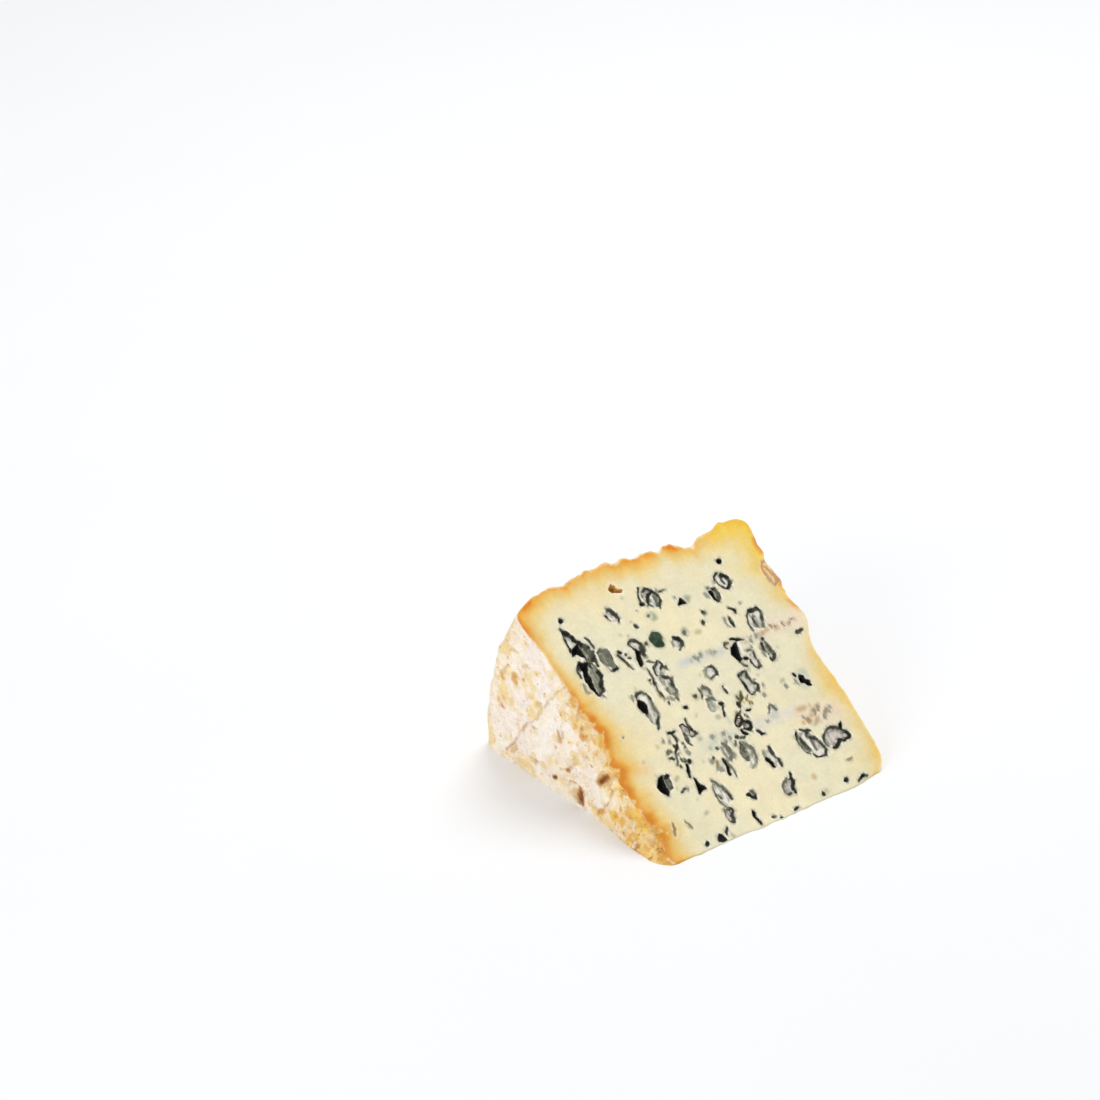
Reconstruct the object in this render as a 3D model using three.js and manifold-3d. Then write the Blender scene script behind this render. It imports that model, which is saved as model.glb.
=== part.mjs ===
// A wedge of blue cheese, cut from a small drum-shaped wheel and lying on one of its two cut faces.
// Millimetres, +Z up. X runs along the wheel's axis and Y from the axis towards the heel.
// The cut faces meet in the nose, the edge on the wheel's axis. The wheel's own skin, the rind,
// covers the two flat ends and the round heel. The other cut face slopes up and back.
import * as THREE from 'three';
import { mergeVertices } from 'three/addons/utils/BufferGeometryUtils.js';
import { ImprovedNoise } from 'three/addons/math/ImprovedNoise.js';
import Module from 'manifold-3d';

const wasm = await Module();
wasm.setup();

// Wheel and cut
const WHEEL_RADIUS = 100;
const WHEEL_HEIGHT = 97;
const CUT_ANGLE = THREE.MathUtils.degToRad(38.3);

// Rounding of the edges
const NOSE_RADIUS = 0.8;
const HEEL_CORNER = 4;
const WORN_LEFT_CORNER = 7;
const WORN_RIGHT_CORNER = 8;
const FLOOR_EDGE_TUCK = 0.9;
const FLOOR_EDGE_HEIGHT = 2.2;

// Rind edges seen on the upper cut face, read at even steps, as millimetres off the ideal drum:
// the left end stands in by the first row, the right end out by the second, from nose to heel.
// The heel stands out by the third row, from left to right.
const LEFT_END_AT_CUT = [0.0, 4.4, 2.4, 1.3, 1.7, 2.9, 1.6, 0.6, -0.1, -2.0, -2.2];
const RIGHT_END_AT_CUT = [0.3, 0.9, 0.8, 0.6, -0.7, -1.4, 1.7, 0.5, 0.2, 0.3, 1.0];
const HEEL_AT_CUT = [-2.2, 0.2, 0.9, 0.9, 2.6, 2.8, 2.0, 1.0, 1.6, 0.6, -0.6, -0.6, 1.6, 2.0, 1.2];

// The same three edges where the wedge rests.
const LEFT_END_AT_REST = [-1.5, -1.5, -1.2, 0.3, 1.2, 0.9, 0.5, 0.6, 0.6, 0.4, 0.4];
const RIGHT_END_AT_REST = [-0.6, -0.2, 0.4, 0.1, -0.5, -0.3, 0.3, 0.6, 0.1, -0.4, -0.8];
const HEEL_AT_REST = [-2.2, -1.6, -0.8, -0.1, 0.6, 1.0, 0.6, 0.0, -0.6, 0.2, 0.8, 0.4, -0.4, -1.0, -1.6];

// The unevenness of the upper edges dies away towards the resting cut by this power of the lift.
const CUT_LINE_FADE = 1.4;

// The nose wanders towards the front by these amounts, from left to right.
const NOSE_WANDER = [0.4, 1.4, 1.5, 1.1, 1.0, 1.4, 0.7, 0.7, 0.4, 0.4, 0.1, -0.7, -1.6];

// Crumbled places of the heel's upper edge: where along it, half width, and how far it stands out
// there, below 0 for a bite. They die away downwards within this share of the lift.
const CRUMBLED = [
  [60.0, 1.6, -1.4],
  [65.2, 2.6, 1.0],
  [72.8, 3.0, -1.9],
];
const CRUMBLED_REACH = 0.12;

// Unevenness of the rind
const RIND_RELIEF = 1.1;
const RIND_WAVELENGTH = 11;

// Facets
const STEPS_ALONG_END = 26;
const STEPS_ALONG_HEEL = 38;
const FACET_ROUND_HEEL = 6.5;

// Main mould hollows of the upper cut face: place along the nose, place from nose to heel,
// half width, half length, and lean in degrees.
const MAIN_HOLLOWS = [
  [30.5, 85.0, 2.4, 3.4, 0],
  [48.5, 85.5, 2.8, 5.0, 8],
  [12.0, 83.0, 1.9, 4.6, -8],
  [13.3, 76.3, 3.9, 3.9, 0],
  [11.2, 67.3, 3.7, 6.8, 0],
  [20.5, 71.2, 2.6, 4.5, 0],
  [32.8, 70.4, 2.6, 4.8, -10],
  [36.5, 62.0, 2.6, 3.4, 0],
  [36.6, 56.0, 2.3, 4.6, 0],
  [24.6, 50.4, 3.0, 7.2, 0],
  [76.5, 83.0, 3.1, 3.5, 0],
  [71.0, 79.0, 2.3, 3.1, 0],
  [80.5, 66.3, 3.3, 4.5, 0],
  [66.7, 58.4, 2.6, 4.8, 0],
  [71.8, 54.0, 2.0, 4.1, 0],
  [78.2, 54.8, 2.1, 4.0, 0],
  [53.6, 54.8, 2.5, 2.5, 0],
  [65.2, 46.6, 2.5, 5.0, 0],
  [33.8, 38.5, 2.8, 4.9, 0],
  [15.5, 25.3, 3.2, 3.8, 0],
  [27.1, 20.2, 2.1, 2.9, 0],
  [50.2, 25.6, 3.0, 5.5, 0],
  [54.6, 35.0, 3.0, 3.8, 25],
  [74.2, 19.7, 4.2, 6.0, 0],
  [84.6, 19.0, 5.5, 3.7, 0],
  [57.5, 20.0, 2.6, 4.2, 0],
  [33.6, 15.6, 2.3, 5.0, 0],
  [58.0, 9.6, 3.0, 3.9, -8],
];
const MAIN_HOLLOW_DEPTH = 0.85;

// Smaller hollows are drawn by a seeded rule, on both cut faces.
const SMALL_HOLLOWS_ABOVE = 16;
const HOLLOWS_BELOW = 22;
const SMALL_HOLLOW_LENGTH = [1.1, 2.6];
const LARGE_HOLLOW_LENGTH = [2.2, 5.0];
const HOLLOW_SLIMNESS = 0.62;
const HOLLOW_MARGIN = 8;
const HOLLOW_CLEARANCE = 1.5;
const HOLLOW_ROUGHNESS = 0.44;
const HOLLOW_LUMPS = 1.7;
const DRAW_SEED = 41;

// Dents of the left rind end: place from nose to heel along the floor, height, half width,
// half length, depth, and lean in degrees. The last is a long shallow crease.
const RIND_DENTS = [
  [31.8, 17.6, 2.4, 4.2, 1.8, -50],
  [46.0, 5.4, 3.6, 4.2, 1.6, 0],
  [50.6, 12.0, 1.4, 2.2, 1.2, -45],
  [57.0, 6.4, 1.2, 1.6, 1.0, -40],
  [67.5, 23.5, 1.3, 26.0, 0.6, 40],
];

// Reads a row of evenly spaced values as a smooth line, at t from 0 to 1.
function smoothLine(values, t) {
  const place = THREE.MathUtils.clamp(t, 0, 1) * (values.length - 1);
  const i = Math.min(Math.floor(place), values.length - 2);
  const before = values[Math.max(i - 1, 0)];
  const after = values[Math.min(i + 2, values.length - 1)];
  const f = place - i;
  const startSlope = (values[i + 1] - before) / 2;
  const endSlope = (after - values[i]) / 2;
  const rise = values[i + 1] - values[i];
  return values[i] + f * (startSlope + f * (3 * rise - 2 * startSlope - endSlope
    + f * (startSlope + endSlope - 2 * rise)));
}

// Blends the line where the wedge rests into the line at the upper cut, lift going from 0 to 1.
function betweenCuts(atRest, atCut, t, lift) {
  return THREE.MathUtils.lerp(smoothLine(atRest, t), smoothLine(atCut, t), lift ** CUT_LINE_FADE);
}

// Both ends turn inwards just above the nose, on a quarter circle, where the corners have worn off.
function wornOff(r, corner) {
  const below = Math.max(corner - r, 0);
  return corner - Math.sqrt(corner ** 2 - below ** 2);
}

function leftEnd(r, lift) {
  const line = betweenCuts(LEFT_END_AT_REST, LEFT_END_AT_CUT, r / WHEEL_RADIUS, lift);
  return line + wornOff(r, WORN_LEFT_CORNER);
}

function rightEnd(r, lift) {
  const line = betweenCuts(RIGHT_END_AT_REST, RIGHT_END_AT_CUT, r / WHEEL_RADIUS, lift);
  return WHEEL_HEIGHT + line - wornOff(r, WORN_RIGHT_CORNER);
}

function heel(x, lift) {
  const line = betweenCuts(HEEL_AT_REST, HEEL_AT_CUT, x / WHEEL_HEIGHT, lift);
  const crumbled = CRUMBLED.reduce((sum, [at, width, out]) =>
    sum + out * Math.exp(-(((x - at) / width) ** 2)), 0);
  return WHEEL_RADIUS + line + crumbled * Math.exp((lift - 1) / CRUMBLED_REACH);
}

// The rind's section at one lift, as points of x and distance r from the axis: up the left end,
// round a corner, along the heel, round the next corner and down the right end.
// Row is a whole number that counts the steps from the left end of the nose. Each end meets the heel
// halfway round its corner, so the corner's height is read from the heel there.
function rindSection(row, lift) {
  const corner = HEEL_CORNER;
  const half = Math.SQRT1_2 * corner;
  const leftX = leftEnd(WHEEL_RADIUS - corner, lift) + corner;
  const rightX = rightEnd(WHEEL_RADIUS - corner, lift) - corner;
  const leftTurn = new THREE.Vector2(leftX, heel(leftX - half, lift) - corner);
  const rightTurn = new THREE.Vector2(rightX, heel(rightX + half, lift) - corner);
  if (row <= STEPS_ALONG_END) {
    const r = THREE.MathUtils.lerp(NOSE_RADIUS, leftTurn.y + half, row / STEPS_ALONG_END);
    const inArc = Math.max(r - leftTurn.y, 0);
    return [leftEnd(r, lift) + corner - Math.sqrt(corner ** 2 - inArc ** 2), r];
  }
  if (row <= STEPS_ALONG_END + STEPS_ALONG_HEEL) {
    const t = (row - STEPS_ALONG_END) / STEPS_ALONG_HEEL;
    const x = THREE.MathUtils.lerp(leftTurn.x - half, rightTurn.x + half, t);
    const inArc = Math.max(leftTurn.x - x, x - rightTurn.x, 0);
    return [x, heel(x, lift) - corner + Math.sqrt(corner ** 2 - inArc ** 2)];
  }
  const t = (row - STEPS_ALONG_END - STEPS_ALONG_HEEL) / STEPS_ALONG_END;
  const r = THREE.MathUtils.lerp(rightTurn.y + half, NOSE_RADIUS, t);
  const inArc = Math.max(r - rightTurn.y, 0);
  return [rightEnd(r, lift) - corner + Math.sqrt(corner ** 2 - inArc ** 2), r];
}

// Carries a point of the section round the axis to its lift, and lets the nose wander.
function place(x, r, lift) {
  const angle = CUT_ANGLE * lift;
  const wander = smoothLine(NOSE_WANDER, x / WHEEL_HEIGHT) * (1 - r / WHEEL_RADIUS) ** 2;
  return new THREE.Vector3(x, r * Math.cos(angle) - wander, r * Math.sin(angle));
}

const noise = new ImprovedNoise();

// Uneven rind, calm at both cuts, with its lower edges tucked in just above the floor.
function rindPoint(row, lift) {
  const [x, r] = rindSection(row, lift);
  const point = place(x, r, lift);
  const middle = place(WHEEL_HEIGHT / 2, Math.max(r - WHEEL_HEIGHT / 2, 0), lift);
  const outward = point.clone().sub(middle).normalize();
  const grain = point.clone().divideScalar(RIND_WAVELENGTH);
  const calm = Math.sqrt(Math.sin(Math.PI * lift));
  const tuck = FLOOR_EDGE_TUCK * Math.exp(-point.z / FLOOR_EDGE_HEIGHT) * (r / WHEEL_RADIUS) ** 2;
  const relief = RIND_RELIEF * calm * noise.noise(grain.x, grain.y, grain.z);
  outward.z = 0;
  return point.addScaledVector(outward, relief - tuck);
}

// One row of the rind runs from the resting cut to the upper cut, in more steps near the heel.
function rindRow(row) {
  const [, r] = rindSection(row, 0);
  const steps = Math.max(1, Math.round(r * CUT_ANGLE / FACET_ROUND_HEEL));
  return Array.from({ length: steps + 1 }, (_, k) => rindPoint(row, k / steps));
}

function noseRow(t) {
  const left = rindSection(0, 0)[0];
  const right = rindSection(2 * STEPS_ALONG_END + STEPS_ALONG_HEEL, 0)[0];
  const leftUp = rindSection(0, 1)[0];
  const rightUp = rindSection(2 * STEPS_ALONG_END + STEPS_ALONG_HEEL, 1)[0];
  return [place(THREE.MathUtils.lerp(right, left, t), NOSE_RADIUS, 0),
    place(THREE.MathUtils.lerp(rightUp, leftUp, t), NOSE_RADIUS, 1)];
}

// Fills the strip between two rows of points, whatever their counts, always taking
// the shorter way on.
function fillStrip(corners, rowA, rowB) {
  let a = 0;
  let b = 0;
  while (a < rowA.length - 1 || b < rowB.length - 1) {
    const nextA = (a + 0.5) / (rowA.length - 1);
    const nextB = (b + 0.5) / (rowB.length - 1);
    if (b === rowB.length - 1 || (a < rowA.length - 1 && nextA <= nextB)) {
      corners.push(rowA[a], rowA[a + 1], rowB[b]);
      a += 1;
    } else {
      corners.push(rowA[a], rowB[b + 1], rowB[b]);
      b += 1;
    }
  }
}

// A cut face spans its four edges: each point is blended from the edges across and along.
function cutFace(left, top, right, bottom) {
  const last = { s: top.length - 1, t: left.length - 1 };
  return left.map((leftPoint, j) => top.map((topPoint, i) => {
    const s = i / last.s;
    const t = j / last.t;
    const across = leftPoint.clone().lerp(right[j], s);
    const along = bottom[i].clone().lerp(topPoint, t);
    const low = bottom[0].clone().lerp(bottom[last.s], s);
    const high = top[0].clone().lerp(top[last.s], s);
    return across.add(along).sub(low.lerp(high, t));
  }));
}

function solidFrom(geometry) {
  geometry.deleteAttribute('normal');
  geometry.deleteAttribute('uv');
  const merged = mergeVertices(geometry, 1e-4);
  return new wasm.Manifold(new wasm.Mesh({
    numProp: 3,
    vertProperties: new Float32Array(merged.attributes.position.array),
    triVerts: new Uint32Array(merged.index.array),
  }));
}

function uncutWedge() {
  const corners = [];
  const rindRows = [];
  for (let row = 0; row <= 2 * STEPS_ALONG_END + STEPS_ALONG_HEEL; row += 1) {
    rindRows.push(rindRow(row));
  }
  const noseRows = Array.from({ length: STEPS_ALONG_HEEL + 1 }, (_, k) => noseRow(k / STEPS_ALONG_HEEL));
  noseRows[0] = rindRows.at(-1);
  noseRows[STEPS_ALONG_HEEL] = rindRows[0];
  const band = [...rindRows, ...noseRows.slice(1)];
  for (let k = 0; k < band.length - 1; k += 1) {
    fillStrip(corners, band[k], band[k + 1]);
  }
  const turnLeft = STEPS_ALONG_END;
  const turnRight = STEPS_ALONG_END + STEPS_ALONG_HEEL;
  for (const end of [0, -1]) {
    const left = rindRows.slice(0, turnLeft + 1).map((row) => row.at(end));
    const top = rindRows.slice(turnLeft, turnRight + 1).map((row) => row.at(end));
    const right = rindRows.slice(turnRight).map((row) => row.at(end)).reverse();
    const bottom = noseRows.map((row) => row.at(end)).reverse();
    const face = cutFace(left, top, right, bottom);
    for (let k = 0; k < face.length - 1; k += 1) {
      if (end === 0) {
        fillStrip(corners, face[k + 1], face[k]);
      } else {
        fillStrip(corners, face[k], face[k + 1]);
      }
    }
  }
  return solidFrom(new THREE.BufferGeometry().setFromPoints(corners));
}

// A lumpy egg to cut away. Its own axes are across, along and into the surface.
function lumpyHollow(half, lean, centre, across, along, into, detail) {
  const egg = new THREE.IcosahedronGeometry(1, detail);
  const position = egg.attributes.position;
  const turn = THREE.MathUtils.degToRad(lean);
  const frame = new THREE.Matrix4().makeBasis(across, along, into).setPosition(centre);
  const point = new THREE.Vector3();
  for (let k = 0; k < position.count; k += 1) {
    point.fromBufferAttribute(position, k);
    const lump = noise.noise(point.x * HOLLOW_LUMPS + centre.x, point.y * HOLLOW_LUMPS + centre.y,
      point.z * HOLLOW_LUMPS);
    point.multiplyScalar(1 + HOLLOW_ROUGHNESS * lump).multiply(half);
    point.applyAxisAngle(new THREE.Vector3(0, 0, 1), turn).applyMatrix4(frame);
    position.setXYZ(k, point.x, point.y, point.z);
  }
  return solidFrom(egg);
}

// Hollows of a cut face. Lift is 1 for the upper cut and 0 for the resting one.
function cutHollow(x, r, halfWidth, halfLength, lean, lift, detail) {
  const angle = CUT_ANGLE * lift;
  const across = new THREE.Vector3(1, 0, 0);
  const along = new THREE.Vector3(0, Math.cos(angle), Math.sin(angle));
  const into = across.clone().cross(along);
  const half = new THREE.Vector3(halfWidth, halfLength, MAIN_HOLLOW_DEPTH * halfWidth);
  return lumpyHollow(half, lean, place(x, r, lift), across, along, into, detail);
}

function drawBetween([low, high]) {
  return THREE.MathUtils.lerp(low, high, THREE.MathUtils.seededRandom());
}

// Draws places for further hollows, each clear of those already there.
function drawHollows(count, lengths, lift, taken) {
  const drawn = [];
  while (drawn.length < count) {
    const x = drawBetween([HOLLOW_MARGIN, WHEEL_HEIGHT - HOLLOW_MARGIN]);
    const r = drawBetween([HOLLOW_MARGIN, WHEEL_RADIUS - HOLLOW_MARGIN]);
    const halfLength = drawBetween(lengths);
    const clear = taken.every(([otherX, otherR, , otherLength]) =>
      Math.hypot(x - otherX, r - otherR) > HOLLOW_CLEARANCE * (halfLength + otherLength));
    if (clear) {
      taken.push([x, r, halfLength, halfLength]);
      drawn.push(cutHollow(x, r, halfLength * HOLLOW_SLIMNESS, halfLength, 0, lift, 0));
    }
  }
  return drawn;
}

function rindDent([y, z, halfWidth, halfLength, depth, lean]) {
  const r = Math.hypot(y, z);
  const lift = Math.atan2(z, y) / CUT_ANGLE;
  const centre = new THREE.Vector3(leftEnd(r, lift), y, z);
  const half = new THREE.Vector3(halfWidth, halfLength, depth);
  return lumpyHollow(half, lean, centre, new THREE.Vector3(0, 1, 0), new THREE.Vector3(0, 0, 1),
    new THREE.Vector3(1, 0, 0), 1);
}

THREE.MathUtils.seededRandom(DRAW_SEED);
const takenAbove = MAIN_HOLLOWS.map((row) => [...row]);
const hollows = [
  ...MAIN_HOLLOWS.map(([x, r, width, length, lean]) => cutHollow(x, r, width, length, lean, 1, 1)),
  ...drawHollows(SMALL_HOLLOWS_ABOVE, SMALL_HOLLOW_LENGTH, 1, takenAbove),
  ...drawHollows(HOLLOWS_BELOW, LARGE_HOLLOW_LENGTH, 0, []),
  ...RIND_DENTS.map(rindDent),
];
const allHollows = hollows.reduce((joined, hollow) => joined.add(hollow));
const wedge = uncutWedge().subtract(allHollows);

// The solid goes back into a geometry, standing over the origin by the middle of its base.
const result = wedge.getMesh();
const geometry = new THREE.BufferGeometry();
geometry.setAttribute('position', new THREE.BufferAttribute(new Float32Array(result.vertProperties), 3));
geometry.setIndex(new THREE.BufferAttribute(new Uint32Array(result.triVerts), 1));
geometry.computeBoundingBox();
const box = geometry.boundingBox;
geometry.translate(-(box.min.x + box.max.x) / 2, -(box.min.y + box.max.y) / 2, -box.min.z);
geometry.computeVertexNormals();

const paste = new THREE.MeshStandardMaterial({ color: 0xe9dfbd, roughness: 0.55, metalness: 0 });
const cheeseWedge = new THREE.Mesh(geometry, paste);
cheeseWedge.name = 'cheese_wedge';

const cheese = new THREE.Group();
cheese.add(cheeseWedge);

export default cheese;
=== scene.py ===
"""Dresses a wedge of blue cheese: its mould-lined hollows, ripe margins and dry white rind.

The wedge comes from a small drum-shaped wheel and lies on one of its two cut faces. Places on the upper
cut face are given in millimetres as x, along the nose from left to right, and r, from the nose to the heel.
Places on the left end of the rind are given as y and z, along the floor and upwards.
"""

import logging
import math
from collections.abc import Sequence
from dataclasses import dataclass, field
from enum import Enum

import bpy
import numpy as np
from mathutils import Matrix, Vector
from numpy.typing import NDArray

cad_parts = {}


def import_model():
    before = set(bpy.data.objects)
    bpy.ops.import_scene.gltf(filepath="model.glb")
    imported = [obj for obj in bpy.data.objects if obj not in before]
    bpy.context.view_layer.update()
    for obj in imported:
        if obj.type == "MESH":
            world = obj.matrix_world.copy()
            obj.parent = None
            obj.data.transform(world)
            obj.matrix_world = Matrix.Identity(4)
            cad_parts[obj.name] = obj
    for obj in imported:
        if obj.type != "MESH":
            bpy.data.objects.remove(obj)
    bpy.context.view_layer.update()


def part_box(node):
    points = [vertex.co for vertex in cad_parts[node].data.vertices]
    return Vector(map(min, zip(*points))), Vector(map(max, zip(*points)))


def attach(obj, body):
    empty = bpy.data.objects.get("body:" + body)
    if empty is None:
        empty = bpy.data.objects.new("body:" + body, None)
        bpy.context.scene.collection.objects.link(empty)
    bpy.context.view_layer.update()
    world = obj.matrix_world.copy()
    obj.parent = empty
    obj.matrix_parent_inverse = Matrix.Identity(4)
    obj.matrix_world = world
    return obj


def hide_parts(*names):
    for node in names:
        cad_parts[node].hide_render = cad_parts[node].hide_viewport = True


Floats = NDArray[np.float64]
Ints = NDArray[np.int64]
Colour = tuple[int, int, int]
Pair = tuple[float, float]
Numbers = tuple[float, ...]
Socket = bpy.types.NodeSocket
Value = Socket | Vector | Colour | float

LOG = logging.getLogger("cheese")
MM = 0.001
FAR_OUTSIDE = -3.0

# How many steps the surface has along each end and along the heel, the row where the heel ends, and the
# steps in millimetres from the resting cut to the upper one, on the left end and elsewhere, and over the
# resting cut
END_STEPS = 248
HEEL_STEPS = 240
HEEL_END = END_STEPS + HEEL_STEPS
LEFT_ROUND_STEP = 0.55
ROUND_STEP = 1.6
BASE_STEP = 1.1


def smooth_line(values: Sequence[float], t: Floats) -> Floats:
    """Reads evenly spaced values as one smooth line, a cubic through each pair with shared slopes.

    Args:
        values: The line's values, at even steps of t.
        t: Places along the line, from 0 to 1.

    Returns:
        The line's value at each place.
    """
    knots = np.asarray(values, float)
    last = len(knots) - 1
    place = np.clip(t, 0, 1) * last
    i = np.minimum(np.floor(place).astype(int), last - 1)
    f = place - i
    start = (knots[i + 1] - knots[np.maximum(i - 1, 0)]) / 2
    end = (knots[np.minimum(i + 2, last)] - knots[i]) / 2
    rise = knots[i + 1] - knots[i]
    return knots[i] + f * (start + f * (3 * rise - 2 * start - end + f * (start + end - 2 * rise)))


def ease(value: Floats, low: float | Floats, high: float | Floats) -> Floats:
    """Goes smoothly from 0 at low to 1 at high: three times the square less twice the cube."""
    t = np.clip((value - low) / (np.asarray(high) - low), 0, 1)
    return t * t * (3 - 2 * t)


def hump(value: Floats, centre: float, width: float) -> Floats:
    """A bell of height 1 over its centre."""
    return np.exp(-(((value - centre) / width) ** 2))


def linear(colour: Colour | Floats) -> Floats:
    """Turns a screen colour of 0 to 255 into the light that it stands for."""
    part = np.asarray(colour, float) / 255
    return np.where(part <= 0.04045, part / 12.92, ((part + 0.055) / 1.055) ** 2.4)


def blend(under: Floats, over: Colour | Floats, amount: Floats) -> Floats:
    """Mixes screen colours: the first where the amount is 0, the second where it is 1."""
    return under + (np.asarray(over, float) - under) * np.asarray(amount)[..., None]


class Grain:
    """Smooth seeded noise: random values on a lattice, blended by a quintic step between its knots.

    Each octave is shifted against the one before, and the gain brings the noise to about -1 to 1.
    """

    SIZE = 32
    SHIFT = 7.3
    GAIN = 1.4
    CORNERS = [(i, j, k) for i in (0, 1) for j in (0, 1) for k in (0, 1)]

    def __init__(self, seed: int) -> None:
        """Draws the lattice from a seed."""
        self.knots = np.random.default_rng(seed).uniform(-1, 1, (self.SIZE,) * 3)

    def at(self, points: Floats, wavelength: float, octaves: int = 1) -> Floats:
        """Sums octaves of the noise, each of half the wavelength and half the height of the one before.

        Args:
            points: Places, with x, y and z last, in millimetres.
            wavelength: Spacing of the lattice's knots in millimetres.
            octaves: Number of layers.

        Returns:
            Noise of about -1 to 1 at each place.
        """
        total = np.zeros(points.shape[:-1])
        for octave in range(octaves):
            scaled = points * (2**octave / wavelength) + self.SHIFT * octave
            cell = np.floor(scaled).astype(int)
            f = scaled - cell
            step = f**3 * (f * (6 * f - 15) + 10)
            for corner in self.CORNERS:
                side = np.where(corner, step, 1 - step).prod(axis=-1)
                knot = (cell + corner) % self.SIZE
                total += side * self.knots[knot[..., 0], knot[..., 1], knot[..., 2]] * 0.5**octave
        return total * self.GAIN


def placed(name: str, data: bpy.types.ID) -> bpy.types.Object:
    """Puts a mesh, lamp or camera into the scene.

    Args:
        name: The object's name.
        data: The mesh, lamp or camera.

    Returns:
        The object.
    """
    thing = bpy.data.objects.new(name, data)
    bpy.context.scene.collection.objects.link(thing)
    return thing


class Kind(Enum):
    """What a mark on a cut face is."""

    OPEN = "a hollow whose floor shows, or a pale flake"
    SOLID = "a body, hole or line that is dark all through"
    STAIN = "a soft discolouring"


@dataclass(frozen=True)
class MouldLook:
    """Finish of one kind of mark.

    The depth and the width of the dark rim are in millimetres; the rim also sets how strongly an open
    hollow's floor is painted with shade, in its dark colour, towards its left wall. The fill is the share of
    the floor that dark mould covers, and the streaks say how streaked it is, both from 0 to 1. A body shows
    its dark colour alone, and a stain its floor colour.
    """

    kind: Kind
    depth: float = 0.0
    floor: Colour = (0, 0, 0)
    dark: Colour = (0, 0, 0)
    rim: float = 0.0
    fill: float = 0.0
    streaks: float = 0.0


class Look(Enum):
    """The looks that the marks have."""

    # Hollows whose floor shows, the paler ones first, since a later look is laid over an earlier one
    PALE = MouldLook(Kind.OPEN, 0.8, (236, 232, 218), (128, 126, 108), 0.16, 0, 0.45)
    WASH = MouldLook(Kind.OPEN, 0.5, (196, 195, 178), (140, 140, 122), 0.16, 0, 0.5)
    MAUVE = MouldLook(Kind.OPEN, 1, (212, 202, 194), (70, 64, 54), 0.30, 0.10, 0.35)
    LILAC = MouldLook(Kind.OPEN, 1, (196, 188, 178), (70, 68, 58), 0.30, 0.10, 0.5)
    BLUSH = MouldLook(Kind.OPEN, 0.1, (239, 210, 154), (224, 178, 118))
    FELT = MouldLook(Kind.OPEN, 1.4, (126, 127, 106), (66, 68, 54), 0.26, 0.04, 0.22)
    DARK_FELT = MouldLook(Kind.OPEN, 1.6, (92, 93, 77), (42, 44, 33), 0.30, 0.16, 0.14)
    AMBER = MouldLook(Kind.OPEN, 1.3, (190, 130, 42), (120, 70, 8))
    RUST = MouldLook(Kind.OPEN, 1.4, (128, 82, 10), (110, 64, 6))
    # A pale flake; pale lines beside dark ones are partly painted highlight
    WHITE = MouldLook(Kind.OPEN, 0, (247, 243, 230), (200, 196, 180))
    # Bodies, holes and lines, the darker ones last
    TAN = MouldLook(Kind.SOLID, 0.2, dark=(190, 150, 98))
    SIENNA = MouldLook(Kind.SOLID, 0.1, dark=(216, 152, 92))
    STRAW = MouldLook(Kind.SOLID, 0.3, dark=(170, 140, 64))
    MIST = MouldLook(Kind.SOLID, 0.2, dark=(156, 156, 136))
    GREEN = MouldLook(Kind.SOLID, 0.1, dark=(50, 77, 50))
    GREY = MouldLook(Kind.SOLID, 0.4, dark=(114, 115, 97))
    OLIVE = MouldLook(Kind.SOLID, 0.4, dark=(92, 84, 38))
    DARK = MouldLook(Kind.SOLID, 0.6, dark=(62, 64, 50))
    DEEP_GREEN = MouldLook(Kind.SOLID, 0.2, dark=(30, 50, 30))
    UMBER = MouldLook(Kind.SOLID, 0.6, dark=(48, 36, 20))
    INK = MouldLook(Kind.SOLID, 1.1, dark=(30, 32, 24))
    CAVE = MouldLook(Kind.SOLID, 2.6, dark=(5, 6, 4))
    # Soft stains
    SMUDGE = MouldLook(Kind.STAIN, floor=(146, 144, 116))
    SAGE = MouldLook(Kind.STAIN, floor=(128, 148, 116))
    DUSK = MouldLook(Kind.STAIN, floor=(192, 198, 186))
    MOSS = MouldLook(Kind.STAIN, floor=(176, 168, 124))
    FAWN = MouldLook(Kind.STAIN, floor=(196, 158, 104))


def path_distance(
    x: Floats, r: Floats, points: Sequence[Pair], closed: bool = False
) -> tuple[Floats, Floats]:
    """Distance to the nearest of a path's straight pieces, found at the nearest place of each piece.

    Args:
        x: Places along the nose.
        r: Places from nose to heel.
        points: The path's points.
        closed: Whether the path comes back to its start.

    Returns:
        The distance, and how far along the path the nearest place is, from 0 to 1.
    """
    ends = [*points[1:], points[0]] if closed else points[1:]
    nearest, along = np.full_like(x, 1e3), np.zeros_like(x)
    for i, ((x0, r0), (x1, r1)) in enumerate(zip(points, ends, strict=False)):
        run_x, run_r = x1 - x0, r1 - r0
        t = np.clip(((x - x0) * run_x + (r - r0) * run_r) / (run_x**2 + run_r**2 + 1e-9), 0, 1)
        distance = np.hypot(x - x0 - t * run_x, r - r0 - t * run_r)
        along = np.where(distance < nearest, (i + t) / len(ends), along)
        np.minimum(nearest, distance, out=nearest)
    return nearest, along


@dataclass(frozen=True)
class Mark:
    """A mark on a cut face, with its finish and with places in millimetres."""

    look: Look

    def inside(self, x: Floats, r: Floats) -> Floats:
        """Millimetres inside the rim, below 0 outside it."""
        raise NotImplementedError

    @property
    def reach(self) -> float:
        """Half of its narrower side in millimetres."""
        raise NotImplementedError


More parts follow.
